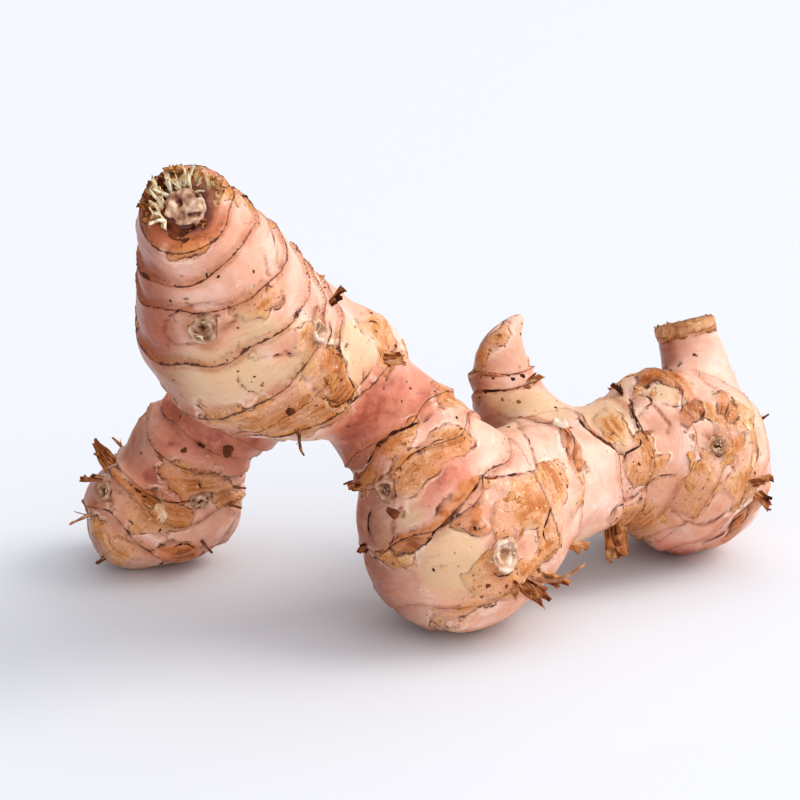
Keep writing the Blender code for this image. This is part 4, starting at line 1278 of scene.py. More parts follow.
def make_root_scars():
    """Corky discs where roots broke off, with ridges round a hole, and the pale fibres that they left.

    Height over the skin is a cosine of the distance from the middle, under a bell, less a deep bell for the
    hole; the outer edge sinks under the skin.
    """
    lobes = make_lobes()
    draw = np.random.default_rng(74)
    marks = np.array(ROOT_SCARS, float)
    centres, normals = pull_to_skin(lobes, marks[:, :3])
    radius = marks[:, 3][:, None, None]
    side = unit(np.cross(normals, (0.36, 0.48, 0.8)))
    other = np.cross(normals, side)
    rho = np.linspace(0, 1.25, SCAR_ROWS)[None, :, None]
    turn = np.linspace(0, 2 * math.pi, SCAR_SIDES, endpoint=False)[None, None]
    phase = draw.uniform(0, 6, (2, len(marks), 1, 1))
    waver = 1 + 0.16 * np.sin(2 * turn + phase[0]) + 0.08 * np.sin(3 * turn + phase[1])
    waver = waver + 0.06 * np.sin(5 * turn + phase[0])
    reach = radius * rho * waver
    grid = centres[:, None, None] + side[:, None, None] * (reach * np.cos(turn))[..., None]
    grid = grid + other[:, None, None] * (reach * np.sin(turn))[..., None]
    bent = 0.5 * np.sin(2 * turn + phase[1]) + 0.4 * np.sin(3 * turn + phase[0])
    ridge = 0.13 * np.cos(2 * math.pi * reach / 1.1 + phase[0] + bent) * (rho > 0.25)
    height = 0.3 + ridge * np.sin(math.pi * np.clip(rho / 1.1, 0, 1))
    height = height * ramp(rho, 1.25, 0.95) - 0.12 * ramp(rho, 0.9, 1.25)
    height = height - 0.35 * np.exp(-((rho / 0.3) ** 2))
    flat = grid.reshape(-1, 3)
    rough = 0.26 * patches(flat, 0.9, 64) + 0.2 * patches(flat, 0.5, 65)
    height = height + rough.reshape(height.shape) * ramp(rho, 1.25, 1.0)
    grid, _ = on_top(lobes, grid, height)
    hole = np.exp(-((rho / 0.28) ** 2)) + 0.35 * ramp(rho, 0.95, 1.2)
    tone = np.array(SCAR_TONES)[:, None, None] - 0.7 * ridge + 0.6 * hole - 0.6 * rough.reshape(height.shape)
    grids = Grids()
    for i in range(len(marks)):
        grids.add(grid[i], wrap=True, flip=True, tone=tone[i], run=reach[i] * 0, side=reach[i] * 0)
    grids.settle("root_scars", dry_tissue("Corky root scar", CORK_TINTS))

    fibres = Grids()
    for i, (centre, normal) in enumerate(zip(centres, normals)):
        for angle in draw.uniform(0, 2 * math.pi, SCAR_FIBRES):
            outward = math.cos(angle) * side[i] + math.sin(angle) * other[i]
            root = centre + outward * marks[i, 3] * draw.uniform(0.2, 0.8)
            heading = outward * draw.uniform(-0.6, 1.0)
            heading = unit(heading + np.cross(normal, outward) * draw.uniform(-1, 1))
            length = draw.uniform(0.7, 2.2)
            width = draw.uniform(0.12, 0.34)
            lift = draw.uniform(0.0, 0.35)
            root = root + FIBRE_STAND * normal
            grid = blade(root, normal, heading, length, width, lift, draw, rows=7, columns=3, sink=0.1)
            add_blade(fibres, grid, draw.uniform(0.0, 0.4), draw)
    fibres.settle("scar_fibres", dry_tissue("Pale root fibre", FIBRE_TINTS), FIBRE_THICKNESS)


def make_knob():
    """The stem scar on the upper lobe: a rough flattened ball, pitted, with a fringe of fibres round it."""
    draw = np.random.default_rng(75)
    axis = unit(KNOB_AXIS)
    centre = np.array(KNOB_CENTRE) + axis * KNOB_STAND
    side = unit(np.cross(axis, (1, 0, 0)))
    other = np.cross(axis, side)
    rise = np.linspace(0, 0.68 * math.pi, KNOB_ROWS)[:, None]
    turn = np.linspace(0, 2 * math.pi, KNOB_SIDES, endpoint=False)[None]
    shrunk = 1 - NUB_SHRINK * np.exp(-(((rise - 1.25) / 0.5) ** 2))
    up = np.cos(rise) * KNOB_RADIUS
    up = up - KNOB_SQUASH * np.clip(up - KNOB_TOP * KNOB_RADIUS, 0, None) + 0 * turn
    out = np.sin(rise) * KNOB_RADIUS * shrunk
    grid = centre + axis * up[..., None]
    grid = grid + side * (out * np.cos(turn))[..., None] + other * (out * np.sin(turn))[..., None]
    flat = grid.reshape(-1, 3)
    rough = 0.40 * patches(flat, 1.9, 66) + 0.32 * patches(flat, 0.9, 67) + 0.2 * patches(flat, 0.5, 68)
    pits = ramp(patches(flat, 1.1, 69), 0.22, 0.6)
    height = (rough - 0.55 * pits).reshape(up.shape)
    grid = grid + unit(grid - centre) * height[..., None]
    tone = 0.3 - 0.8 * rough.reshape(up.shape) + 0.6 * pits.reshape(up.shape) + 0.5 * ramp(up, 1.2, -1.0)
    grids = Grids()
    grids.add(grid, wrap=True, flip=True, tone=tone, run=0 * tone, side=0 * tone)
    grids.settle("stem_scar", dry_tissue("Corky stem scar", CORK_TINTS))

    fibres = Grids()
    place = np.array(KNOB_CENTRE) + axis * KNOB_FRINGE_STAND
    for _, count, radius, low, high, length, width, tone in KNOB_TUFTS:
        for angle in np.radians(draw.uniform(low, high, count)):
            outward = side * math.cos(angle) + other * math.sin(angle)
            across = np.cross(axis, outward)
            heading = axis + outward * draw.uniform(-0.7, 0.5) + across * draw.uniform(-0.9, 0.9)
            root = place + outward * radius * draw.uniform(0.8, 1.12) - axis * draw.uniform(0.2, 1.6)
            long = length * draw.uniform(0.5, 1.4)
            wide = width * draw.uniform(0.6, 1.4)
            lift = draw.uniform(-0.1, 0.35)
            grid = blade(root, outward, unit(heading), long, wide, lift, draw, rows=10, columns=5, sink=0.6)
            add_blade(fibres, grid, tone + draw.uniform(-0.15, 0.15), draw)
    fibres.settle("stem_scar_fringe", dry_tissue("Frayed stem fibre", FRINGE_TINTS), FRINGE_THICKNESS)


def make_stub_crust():
    """The dry frayed crust on the cut stub: a cap of sheath that comes down over its rim, torn all round."""
    draw = np.random.default_rng(76)
    axis = unit(CUT_FACING)
    centre = np.array(CUT_CENTRE)
    side = unit(np.cross(axis, (1, 0, 0)))
    other = np.cross(axis, side)
    turn = np.linspace(0, 2 * math.pi, CRUST_SIDES, endpoint=False)[None]
    down = np.array((0, 0, 0, 0, 0, 0.1, 0.4, 0.9, 1.4, 1.9, 2.4, 2.9))[:, None]
    out = np.array((0, 1.4, 2.8, 4.2, 5.4, 6.0, 6.3, 6.4, 6.4, 6.35, 6.3, 6.2))[:, None]
    draped = np.linspace(0, 1, len(down))[:, None] ** 2
    torn = 1 + 0.35 * np.sin(3 * turn + 1.0) + 0.25 * np.sin(7 * turn) + 0.2 * np.sin(13 * turn + 2.0)
    grid = centre + axis * (0.35 - down * (0.75 + 0.35 * torn * draped))[..., None]
    grid = grid + side * (out * np.cos(turn))[..., None] + other * (out * np.sin(turn))[..., None]
    flat = grid.reshape(-1, 3)
    rough = (0.22 * patches(flat, 1.6, 81) + 0.12 * patches(flat, 0.8, 82)).reshape(out.shape[0], -1)
    outward = unit(side * np.cos(turn)[..., None] + other * np.sin(turn)[..., None])
    rim = ramp(out, 4.5, 6.4)
    grid = grid + axis * (rough * (1 - rim) * (out > 0))[..., None] + outward * (rough * rim)[..., None]
    tone = 0.3 + 0.6 * rough + 0.35 * ramp(down, 1.9, 2.9) + 0.3 * ramp(down, 0.6, 0.0)
    grids = Grids()
    grids.add(grid, wrap=True, flip=True, tone=tone, run=down * 1.0 + 0 * turn, side=turn * 1.6 + 0 * down)
    grids.settle("stub_crust", dry_tissue("Dried cut stem sheath", CRUST_TINTS), CRUST_THICKNESS)

    fibres = Grids()
    for angle in draw.uniform(0, 2 * math.pi, STUB_TUFTS):
        outward = side * math.cos(angle) + other * math.sin(angle)
        across = np.cross(axis, outward)
        heading = axis + outward * draw.uniform(-0.3, 0.4)
        heading = unit(heading + across * draw.uniform(-0.6, 0.6))
        root = centre + outward * draw.uniform(4.6, 6.3) - axis * draw.uniform(0.0, 0.8)
        length = draw.uniform(0.6, 1.5)
        width = draw.uniform(0.4, 1.8)
        grid = blade(root, outward, heading, length, width, STUB_LIFT, draw, rows=8, columns=5, sink=0.3)
        add_blade(fibres, grid, draw.uniform(0.1, 0.6), draw)
    fibres.settle("stub_fringe", dry_tissue("Frayed stub fibre", CRUST_TINTS), FRINGE_THICKNESS)


def tube(path, radii, sides):
    """A circle carried along a path, its radius read along it, closed at the tip."""
    tangents = unit(np.gradient(path, axis=0))
    side = unit(np.cross(tangents, (0.31, 0.89, 0.33)))
    other = np.cross(tangents, side)
    turn = np.linspace(0, 2 * math.pi, sides, endpoint=False)[None, :, None]
    circle = np.cos(turn) * side[:, None] + np.sin(turn) * other[:, None]
    return path[:, None] + radii[:, None, None] * circle


def make_rootlets():
    """Broken rootlets, each a tapering tube that leaves the skin and bends to its heading, with hairs."""
    lobes = make_lobes()
    draw = np.random.default_rng(77)
    grids = Grids()
    roots, normals = pull_to_skin(lobes, np.array([rootlet[0] for rootlet in ROOTLETS], float))
    t = np.linspace(0, 1, ROOTLET_ROWS)
    for (_, heading, length, radius), root, normal in zip(ROOTLETS, roots, normals):
        heading = unit(heading)
        strands = [(root, heading, length, radius)]
        for _ in range(ROOTLET_HAIRS):
            turned = unit(heading + draw.normal(0, 0.5, 3))
            beside = root + draw.normal(0, 0.5, 3)
            strands.append((beside, turned, length * draw.uniform(0.3, 0.8), radius * 0.3))
        for place, way, long, thick in strands:
            steps = -ROOTLET_ROOT / long + (1 + ROOTLET_ROOT / long) * t
            bend = np.clip(steps, 0, None) ** ROOTLET_BEND
            rise = steps * (1 - ROOTLET_DROOP * bend)
            path = normal * rise[:, None] + way * (bend * ROOTLET_SWEEP)[:, None]
            waver = draw.normal(0, 0.045, 3) * np.sin(7 * t + draw.uniform(0, 6))[:, None] * t[:, None]
            radii = thick * (1 - 0.6 * t) * (1 + 0.15 * np.sin(17 * t + draw.uniform(0, 6)))
            radii[-1] = 0
            tones = draw.uniform(0.2, 0.8) + 0.2 * t[:, None] + np.zeros(ROOTLET_SIDES)
            run = long * t[:, None] + np.zeros(ROOTLET_SIDES)
            grid = tube(place + long * (path + waver), radii, ROOTLET_SIDES)
            grids.add(grid, wrap=True, tone=tones, run=run, side=run * 0)
    grids.settle("rootlets", dry_tissue("Broken rootlet", ROOTLET_TINTS))


def add_node(tree, kind, inputs=(), **settings):
    """Adds a shader node with its settings, and gives its inputs values or links from other nodes."""
    node = tree.nodes.new("ShaderNode" + kind)
    for name, value in settings.items():
        setattr(node, name, value)
    for socket, value in inputs:
        if isinstance(value, bpy.types.NodeSocket):
            tree.links.new(value, node.inputs[socket])
        else:
            node.inputs[socket].default_value = value
    return node


PER_METRE = 1000.0

# What the skin's material reads at its points
SKIN_FIELDS = ("film", "scale", "ring", "ink", "lines", "cream", "blush_and_shade", "painted_shade_side", "root_scar", "hollow",
               "crack")

# Noise of the skin: its grain in millimetres, how many finer layers it has and how rough they are
SKIN_NOISES = {
    "broad": (22.0, 2.0, 0.5),
    "mottle": (6.0, 3.0, 0.5),
    "grain": (1.9, 3.0, 0.55),
    "fine": (0.6, 2.0, 0.5),
}

# How far noises tear an edge, in millimetres for the whole range of each
TEARING = (("mottle", 8.0), ("grain", 4.0), ("fine", 1.2))

# Layers of the skin's colour from the lowest up. A layer's mask comes from a field or a noise, shifted and
# torn by the noises; it runs from the first limit to the second, at most to the strength, and streaks take a
# share of it away between them.
SKIN_LAYERS = (
    # mask, is it the size that counts, shift, tear, from, to, strength, streaks, colour
    ("broad", False, 0.0, 0.0, 0.42, 0.62, 0.60, 0.0, "#E0A182"),
    ("mottle", False, 0.0, 0.0, 0.50, 0.70, 0.55, 0.0, "#F4D7CC"),
    ("mottle", False, 0.0, 0.0, 0.50, 0.30, 0.40, 0.0, "#CD8662"),
    ("cream", False, 0.0, 0.08, 0.0, 1.0, 0.75, 0.0, "#DFBE96"),
    # Red marks, partly the skin's own red and partly painted shade, then their deepest red
    ("blush_and_shade", False, 0.0, 0.08, 0.0, 0.9, 0.66, 0.0, "#D2775A"),
    ("blush_and_shade", False, 0.0, 0.12, 0.75, 1.25, 0.75, 0.0, "#94301A"),
    # Painted shade, browner on the side turned from the light
    ("painted_shade_side", False, 0.0, 0.06, 0.0, 1.0, 0.80, 0.15, "#92482A"),
    ("streaks", False, 0.0, 0.0, 0.52, 0.70, 0.25, 0.0, "#C97743"),
    ("ring", True, 0.0, 0.25, 1.6, 0.1, 0.65, 0.4, "#B4683A"),
    ("crack", False, 0.0, 0.07, 0.55, 0.05, 0.70, 0.7, "#8E441A"),
    ("film", False, 0.0, 0.60, -1.3, 1.5, 0.86, 0.35, "#DC9A4E"),
    ("film", False, 0.0, 0.9, 0.4, 2.8, 0.75, 0.75, "#B4601E"),
    ("film", True, 0.1, 0.45, 0.36, 0.0, 1.00, 0.8, "#58260C"),
    # Painted highlight: a pale line along the film's edge
    ("film", True, 0.8, 0.45, 0.45, 0.0, 0.55, 0.8, "#FCECDA"),
    ("root_scar", False, 0.0, 0.5, 2.6, 0.0, 0.55, 0.0, "#AC6838"),
    # The hollow round the knob: an orange-brown wall, and inside it dark red-brown, partly its own colour
    # and partly painted shade in the recess
    ("hollow", False, 0.0, 0.4, 1.2, -0.5, 0.80, 0.2, "#B4602C"),
    ("hollow", False, 0.0, 0.4, -0.4, -2.0, 0.90, 0.0, "#5F2010"),
    ("scale", False, 0.0, 0.45, -0.5, 0.6, 0.85, 0.35, "#CC7A34"),
    ("scale", False, 0.0, 0.9, 0.0, 2.0, 0.80, 0.75, "#88400E"),
    ("scale", True, 0.05, 0.35, 0.44, 0.0, 1.00, 0.5, "#3E1808"),
    # Painted highlight: a pale line along the scale's edge
    ("scale", True, 0.8, 0.35, 0.35, 0.0, 0.50, 1.0, "#F8E0C6"),
)
# Streaks to a millimetre round the lobe and from ring to ring
STREAK_ALONG = 0.14
STREAK_ACROSS = 1.3

# The half width in millimetres of the blackest ring, and how far the tearing moves it
LINE_HALF = 0.14
LINE_TEAR = 0.10

PINK = "#EBBDA7"
LINE = "#4E1E0C"
SPECK = "#5E2C13"
# Pale flecks on the film are painted glints of wet highlight
PAINTED_GLINT = "#FCEFE2"


def wet_skin(settings):
    """Fresh galangal skin: thin, wet and waxy over pale flesh, with bits of tan sheath stuck on it.

    It gives the eye pink and cream that glow a little from below, a sharp wet gloss, dark beaded rings
    where leaves grew, and dull streaky film with darker torn edges. Its colour also holds painted light:
    painted shade on the side turned from the light and in some red marks, and painted highlights along the
    edges of film and scale and in pale flecks on the film.
    """
    material = bpy.data.materials.new("Fresh galangal skin")
    material.use_nodes = True
    tree = material.node_tree
    shader = tree.nodes["Principled BSDF"]
    place = add_node(tree, "TexCoord").outputs["Object"]
    value = {}
    for name in SKIN_FIELDS:
        value[name] = add_node(tree, "Attribute", attribute_name=name).outputs["Fac"]
    for name, (size, detail, rough) in SKIN_NOISES.items():
        inputs = (("Vector", place), ("Scale", PER_METRE / size), ("Detail", detail), ("Roughness", rough))
        value[name] = add_node(tree, "TexNoise", inputs).outputs["Fac"]
    # Streaks lie along the rings: short steps from ring to ring, and long ones round the lobe
    inputs = ((0, place), ("Scale", PER_METRE * STREAK_ALONG))
    slow = add_node(tree, "VectorMath", inputs, operation="SCALE").outputs[0]
    x, y, z = add_node(tree, "SeparateXYZ", ((0, slow),)).outputs
    fast = add_node(tree, "Math", ((0, value["lines"]), (1, STREAK_ACROSS)), operation="MULTIPLY").outputs[0]
    slant = add_node(tree, "Math", ((0, x), (1, z)), operation="ADD").outputs[0]
    way = add_node(tree, "CombineXYZ", ((0, fast), (1, slant), (2, y))).outputs[0]
    inputs = (("Vector", way), ("Scale", 1.0), ("Detail", 4.0), ("Roughness", 0.65))
    value["streaks"] = add_node(tree, "TexNoise", inputs).outputs["Fac"]
    inputs = ((0, value["streaks"]), (1, 0.40), (2, 0.60))
    streak = add_node(tree, "MapRange", inputs, interpolation_type="SMOOTHSTEP").outputs[0]
    torn = -0.5 * sum(reach for _, reach in TEARING)
    for name, reach in TEARING:
        inputs = ((0, value[name]), (1, reach), (2, torn))
        torn = add_node(tree, "Math", inputs, operation="MULTIPLY_ADD").outputs[0]

    # Edges are dark, or pale with a painted highlight, only in places
    inputs = ((0, value["mottle"]), (1, 0.43), (2, 0.57))
    in_places = add_node(tree, "MapRange", inputs, interpolation_type="SMOOTHSTEP").outputs[0]

    # Film is worn thin in places
    inputs = ((0, value["mottle"]), (1, 0.36), (2, 0.58), (3, 0.4), (4, 1.0))
    worn = add_node(tree, "MapRange", inputs, interpolation_type="SMOOTHSTEP").outputs[0]

    colour = add_node(tree, "RGB").outputs[0]
    colour.default_value = (*settings.skin_colour, 1.0)
    for name, size_only, shift, tear, start, end, strength, streaks, tint in SKIN_LAYERS:
        inputs = ((0, torn), (1, tear), (2, value[name]))
        edge = add_node(tree, "Math", inputs, operation="MULTIPLY_ADD").outputs[0]
        if shift:
            edge = add_node(tree, "Math", ((0, edge), (1, shift)), operation="ADD").outputs[0]
        if size_only:
            edge = add_node(tree, "Math", ((0, edge),), operation="ABSOLUTE").outputs[0]
        inputs = ((0, edge), (1, start), (2, end), (4, strength))
        mask = add_node(tree, "MapRange", inputs, interpolation_type="SMOOTHSTEP").outputs[0]
        if size_only and name != "ring":
            mask = add_node(tree, "Math", ((0, mask), (1, in_places)), operation="MULTIPLY").outputs[0]
        if name == "film" and not size_only:
            mask = add_node(tree, "Math", ((0, mask), (1, worn)), operation="MULTIPLY").outputs[0]
        if streaks:
            gaps = add_node(tree, "MapRange", ((0, streak), (3, 1 - streaks), (4, 1.0))).outputs[0]
            mask = add_node(tree, "Math", ((0, mask), (1, gaps)), operation="MULTIPLY").outputs[0]
        inputs = ((0, mask), (6, colour), (7, hex_colour(tint)))
        colour = add_node(tree, "Mix", inputs, data_type="RGBA").outputs[2]

    # Leaf scars: a dark line whose width follows its ink, swells into beads and here and there gives out
    inputs = ((0, torn), (1, LINE_TEAR), (2, value["ring"]))
    crooked = add_node(tree, "Math", inputs, operation="MULTIPLY_ADD").outputs[0]
    gap = add_node(tree, "Math", ((0, crooked),), operation="ABSOLUTE").outputs[0]
    inputs = ((0, value["grain"]), (1, 0.40), (2, 0.64), (3, 0.05), (4, 1.6))
    beads = add_node(tree, "MapRange", inputs).outputs[0]
    inputs = ((0, value["mottle"]), (1, 0.40), (2, 0.58), (3, 0.25), (4, 1.35))
    breaks = add_node(tree, "MapRange", inputs).outputs[0]
    width = LINE_HALF
    for share in (value["ink"], beads, breaks):
        width = add_node(tree, "Math", ((0, width), (1, share)), operation="MULTIPLY").outputs[0]
    over = add_node(tree, "Math", ((0, width), (1, gap)), operation="SUBTRACT").outputs[0]
    line = add_node(tree, "MapRange", ((0, over), (1, -0.10), (2, 0.06), (4, 0.95))).outputs[0]
    inputs = ((0, line), (6, colour), (7, hex_colour(LINE)))
    colour = add_node(tree, "Mix", inputs, data_type="RGBA").outputs[2]

    # Dark specks beside the rings and on the film, and pale flecks on the film that are painted glints of
    # wet highlight
    near_ring = add_node(tree, "Math", ((0, value["ring"]),), operation="ABSOLUTE").outputs[0]
    for source, low, high, near, start, end, tint in (
        ("fine", 0.62, 0.70, near_ring, 1.4, 0.2, SPECK),
        ("fine", 0.64, 0.72, value["film"], -0.8, 0.6, SPECK),
        ("fine", 0.33, 0.27, value["film"], -0.6, 0.8, PAINTED_GLINT),
        ("grain", 0.66, 0.70, value["mottle"], 0.46, 0.56, SPECK),
    ):
        spot = add_node(tree, "MapRange", ((0, value[source]), (1, low), (2, high))).outputs[0]
        where = add_node(tree, "MapRange", ((0, near), (1, start), (2, end), (4, 0.75))).outputs[0]
        mask = add_node(tree, "Math", ((0, spot), (1, where)), operation="MULTIPLY").outputs[0]
        inputs = ((0, mask), (6, colour), (7, hex_colour(tint)))
        colour = add_node(tree, "Mix", inputs, data_type="RGBA").outputs[2]
    tree.links.new(colour, shader.inputs["Base Color"])

    # Film is duller than the wet skin round it, and film and scale glow less from below
    inputs = ((0, value["film"]), (1, -0.2), (2, 0.4), (3, 0.36), (4, 0.44))
    dull = add_node(tree, "MapRange", inputs).outputs[0]
    dull = add_node(tree, "Math", ((0, torn), (1, 0.04), (2, dull)), operation="MULTIPLY_ADD").outputs[0]
    tree.links.new(dull, shader.inputs["Roughness"])
    inputs = ((0, value["film"]), (1, value["scale"]))
    either = add_node(tree, "Math", inputs, operation="MAXIMUM").outputs[0]
    bare = add_node(tree, "MapRange", ((0, either), (1, -0.5), (2, 0.5), (3, 0.45), (4, 0.08))).outputs[0]
    unlined = add_node(tree, "Math", ((0, 1.0), (1, line)), operation="SUBTRACT").outputs[0]
    weight = add_node(tree, "Math", ((0, bare), (1, unlined)), operation="MULTIPLY").outputs[0]
    tree.links.new(weight, shader.inputs["Subsurface Weight"])
    shader.inputs["IOR"].default_value = 1.5
    shader.inputs["Subsurface Radius"].default_value = (1.0, 0.35, 0.18)
    shader.inputs["Subsurface Scale"].default_value = 0.0028
    shader.inputs["Specular IOR Level"].default_value = 0.35
    shader.inputs["Coat Weight"].default_value = 0.12
    shader.inputs["Coat Roughness"].default_value = 0.15

    # Relief in millimetres: grain and mottling everywhere, streaks and finer grain on the film, and sunken
    # ring lines
    inputs = ((0, value["film"]), (1, -0.6), (2, 0.9), (3, 0.10), (4, 0.40))
    film_on = add_node(tree, "MapRange", inputs).outputs[0]
    height = 0.0
    for source, share in (
        (value["streaks"], film_on),
        (value["grain"], film_on),
        (value["fine"], add_node(tree, "Math", ((0, film_on), (1, 0.6)), operation="MULTIPLY").outputs[0]),
        (value["grain"], 0.12),
        (value["mottle"], 0.45),
        (line, -0.15),
    ):
        inputs = ((0, source), (1, share), (2, height))
        height = add_node(tree, "Math", inputs, operation="MULTIPLY_ADD").outputs[0]
    bump = add_node(tree, "Bump", (("Height", height), ("Distance", MM), ("Strength", 1.0)))
    tree.links.new(bump.outputs[0], shader.inputs["Normal"])
    return material


# Tints of dry plant tissue, from the palest to the darkest
SHEATH_TINTS = ("#EAC39C", "#D29A68", "#B27345", "#7E4526", "#46200E")
FILM_TINTS = ("#F6DCC4", "#EABD94", "#DBA06A", "#BF7A44", "#864A28")
DARK_TINTS = ("#7C3F1C", "#5C2A12", "#44190A", "#341206", "#280C04")
CRUMB_TINTS = ("#9A5C34", "#7C4524", "#603218", "#482210", "#34160A")
ROOTLET_TINTS = ("#EBCDB4", "#CB9E7C", "#A4704E", "#76482E", "#4A2818")
CORK_TINTS = ("#EFD9C6", "#CFAB90", "#A67C62", "#74483A", "#38190F")
FIBRE_TINTS = ("#FAEFD9", "#EBD5AE", "#CFA374", "#A06D44", "#643A20")
FRINGE_TINTS = ("#FBF0D6", "#E8CD9F", "#C48A50", "#8E4F28", "#4A2411")
CRUST_TINTS = ("#E8C4A0", "#D2A278", "#B58057", "#845536", "#53301C")


def dry_tissue(name, tints):
    """Dead, dry plant tissue, such as sheath, cork or root: fibrous, dull and brittle.

    It gives the eye straw to dark brown streaks that run along the fibres, with no gloss but at the edges.
    """
    material = bpy.data.materials.new(name)
    material.use_nodes = True
    tree = material.node_tree
    shader = tree.nodes["Principled BSDF"]
    place = add_node(tree, "TexCoord").outputs["Object"]
    value = {}
    for key in ("tone", "run", "side"):
        value[key] = add_node(tree, "Attribute", attribute_name=key).outputs["Fac"]
    slow = add_node(tree, "Math", ((0, value["run"]), (1, 0.35)), operation="MULTIPLY").outputs[0]
    fast = add_node(tree, "Math", ((0, value["side"]), (1, 3.2)), operation="MULTIPLY").outputs[0]
    way = add_node(tree, "CombineXYZ", ((0, slow), (1, fast))).outputs[0]
    inputs = (("Vector", way), ("Scale", 1.0), ("Detail", 3.0), ("Roughness", 0.6))
    fibres = add_node(tree, "TexNoise", inputs).outputs["Fac"]
    inputs = (("Vector", place), ("Scale", PER_METRE / 1.5), ("Detail", 3.0), ("Roughness", 0.55))
    grain = add_node(tree, "TexNoise", inputs).outputs["Fac"]
    # Each noise is a half on average, and the tone is what stays when both halves are taken off
    mixed = -1.0
    for part in (value["tone"], fibres, grain):
        mixed = add_node(tree, "Math", ((0, part), (1, mixed)), operation="ADD").outputs[0]
    stops = add_node(tree, "ValToRGB", ((0, mixed),))
    ramp_of = stops.color_ramp
    ramp_of.elements[1].position = 1.0
    for _ in tints[2:]:
        ramp_of.elements.new(0.5)
    for i, (element, tint) in enumerate(zip(ramp_of.elements, tints)):
        element.position = i / (len(tints) - 1)
        element.color = hex_colour(tint)
    tree.links.new(stops.outputs[0], shader.inputs["Base Color"])
    shader.inputs["Roughness"].default_value = 0.6
    shader.inputs["IOR"].default_value = 1.45
    shader.inputs["Specular IOR Level"].default_value = 0.25
    shader.inputs["Subsurface Weight"].default_value = 0.08
    shader.inputs["Subsurface Radius"].default_value = (1.0, 0.5, 0.25)
    shader.inputs["Subsurface Scale"].default_value = 0.001
    height = add_node(tree, "Math", ((0, fibres), (1, 0.5), (2, grain)), operation="MULTIPLY_ADD").outputs[0]
    bump = add_node(tree, "Bump", (("Height", height), ("Distance", 0.25 * MM), ("Strength", 1.0)))
    tree.links.new(bump.outputs[0], shader.inputs["Normal"])
    return material


def make_stage(settings):
    """A white sheet to lie on, a room that is brighter on its right, a soft high light and the camera."""
    mesh = bpy.data.meshes.new("floor")
    half = settings.floor_side / 2
    corners = [(-half, -half, 0), (half, -half, 0), (half, half, 0), (-half, half, 0)]
    mesh.from_pydata(corners, [], [(0, 1, 2, 3)])
    floor = bpy.data.objects.new("floor", mesh)
    bpy.context.scene.collection.objects.link(floor)
    paper = bpy.data.materials.new("White paper")
    paper.use_nodes = True
    paper_shader = paper.node_tree.nodes["Principled BSDF"]
    paper_shader.inputs["Base Color"].default_value = hex_colour("#DEE1E6")
    paper_shader.inputs["Roughness"].default_value = 0.7
    mesh.materials.append(paper)

    world = bpy.data.worlds.new("Room with a bright wall")
    world.use_nodes = True
    tree = world.node_tree
    background = tree.nodes["Background"]
    background.inputs["Color"].default_value = hex_colour("#FAFBFF")
    way = add_node(tree, "TexCoord").outputs["Generated"]
    inputs = ((0, way), (1, tuple(unit(ROOM_FACING))))
    facing = add_node(tree, "VectorMath", inputs, operation="DOT_PRODUCT").outputs["Value"]
    dim = ROOM_DIM * settings.room_light
    inputs = ((0, facing), (1, -0.65), (2, 0.85), (3, dim), (4, settings.room_light))
    strength = add_node(tree, "MapRange", inputs).outputs[0]
    tree.links.new(strength, background.inputs["Strength"])
    bpy.context.scene.world = world

    lamp = bpy.data.lights.new("key", "SUN")
    lamp.energy = settings.key_light
    lamp.angle = KEY_SPREAD
    lamp.color = hex_colour("#FFFAF4")[:3]
    key = bpy.data.objects.new("key", lamp)
    key.rotation_euler = Vector(KEY_FACING).to_track_quat("Z", "Y").to_euler()
    bpy.context.scene.collection.objects.link(key)

    lens = bpy.data.cameras.new("camera")
    lens.lens = LENS
    lens.sensor_width = SENSOR
    camera = bpy.data.objects.new("camera", lens)
    camera.location = EYE * MM
    camera.rotation_euler = (math.radians(90 - LOOK_DOWN), 0, 0)
    bpy.context.scene.collection.objects.link(camera)
    bpy.context.scene.camera = camera
    bpy.context.scene.view_settings.view_transform = "Standard"
    bpy.context.scene.view_settings.look = "Medium High Contrast"


class GalangalSettings(PropertyGroup):
    """What a user may change."""

    fineness: FloatProperty(
        name="Fineness",
        description="Distance between the points of the skin",
        default=0.615 * MM,
        min=0.3 * MM,
        unit="LENGTH",
    )
    skin_colour: FloatVectorProperty(
        name="Skin colour",
        description="Colour of the bare skin between cream and blush",
        default=hex_colour(PINK)[:3],
        min=0.0,
        max=1.0,
        subtype="COLOR",
    )
    floor_side: FloatProperty(name="Floor", description="Side of the floor", default=8.0, unit="LENGTH")
    room_light: FloatProperty(name="Room light", description="Strength of the bright wall", default=1.28)
    key_light: FloatProperty(name="Key light", description="Strength of the soft high light", default=1.12)


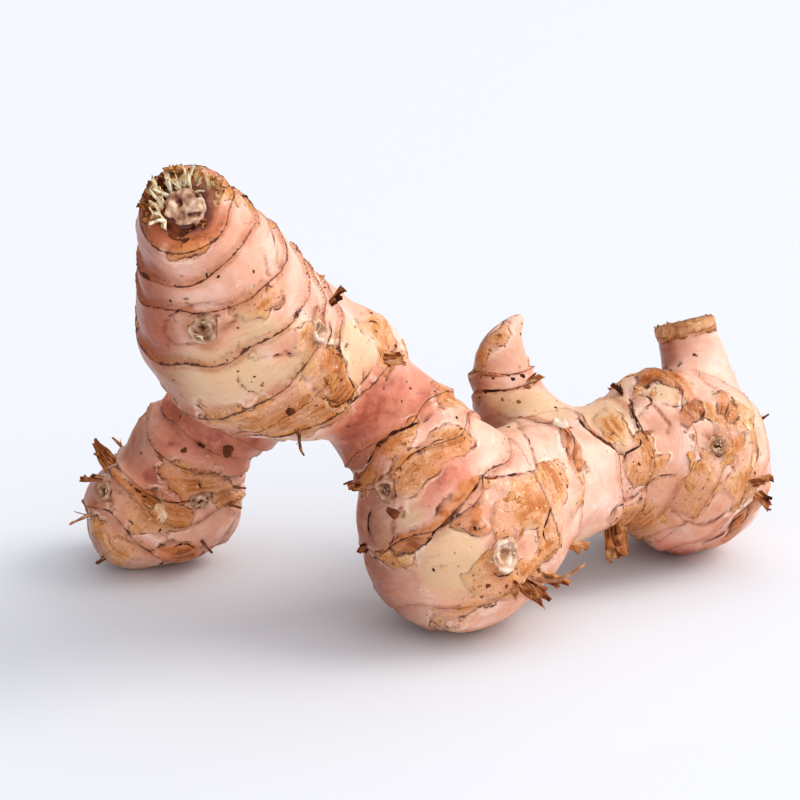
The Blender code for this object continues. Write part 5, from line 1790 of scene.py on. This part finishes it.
class GALANGAL_OT_stage(Operator):
    """Make the floor, the lights and the camera"""

    bl_idname = "galangal.stage"
    bl_label = "Stage"

    def execute(self, context):
        make_stage(context.scene.galangal)
        return {"FINISHED"}


class GALANGAL_OT_skin(Operator):
    """Make the rhizome's skin with its leaf scars, root scars and films"""

    bl_idname = "galangal.skin"
    bl_label = "Skin"

    def execute(self, context):
        make_skin(context.scene.galangal)
        return {"FINISHED"}


class GALANGAL_OT_sheath(Operator):
    """Make the papery scraps, the film flakes, the torn edges and the crumbs of old leaf sheath"""

    bl_idname = "galangal.sheath"
    bl_label = "Old leaf sheath"

    def execute(self, context):
        make_scraps()
        make_flakes()
        make_cracks()
        make_crumbs()
        return {"FINISHED"}


class GALANGAL_OT_scars(Operator):
    """Make the corky scars of roots and stems with their fibres, and the rootlets"""

    bl_idname = "galangal.scars"
    bl_label = "Scars and rootlets"

    def execute(self, context):
        make_root_scars()
        make_knob()
        make_stub_crust()
        make_rootlets()
        return {"FINISHED"}


OPERATORS = (GALANGAL_OT_stage, GALANGAL_OT_skin, GALANGAL_OT_sheath, GALANGAL_OT_scars)


class GALANGAL_PT_panel(Panel):
    """Lists the pieces of the rhizome and what may be changed"""

    bl_label = "Galangal rhizome"
    bl_idname = "GALANGAL_PT_panel"
    bl_space_type = "VIEW_3D"
    bl_region_type = "UI"
    bl_category = "Galangal"

    def draw(self, context):
        for name in GalangalSettings.__annotations__:
            self.layout.prop(context.scene.galangal, name)
        for operator in OPERATORS:
            self.layout.operator(operator.bl_idname)


CLASSES = (GalangalSettings, *OPERATORS, GALANGAL_PT_panel)


def register():
    """Tells Blender of the classes, and gives every scene the settings."""
    for each in CLASSES:
        bpy.utils.register_class(each)
    bpy.types.Scene.galangal = PointerProperty(type=GalangalSettings)


def unregister():
    """Takes back what register did."""
    del bpy.types.Scene.galangal
    for each in reversed(CLASSES):
        bpy.utils.unregister_class(each)


def main():
    """Makes every piece in order."""
    register()
    bpy.ops.galangal.stage()
    bpy.ops.galangal.skin()
    bpy.ops.galangal.sheath()
    bpy.ops.galangal.scars()


if __name__ == "__main__":
    main()
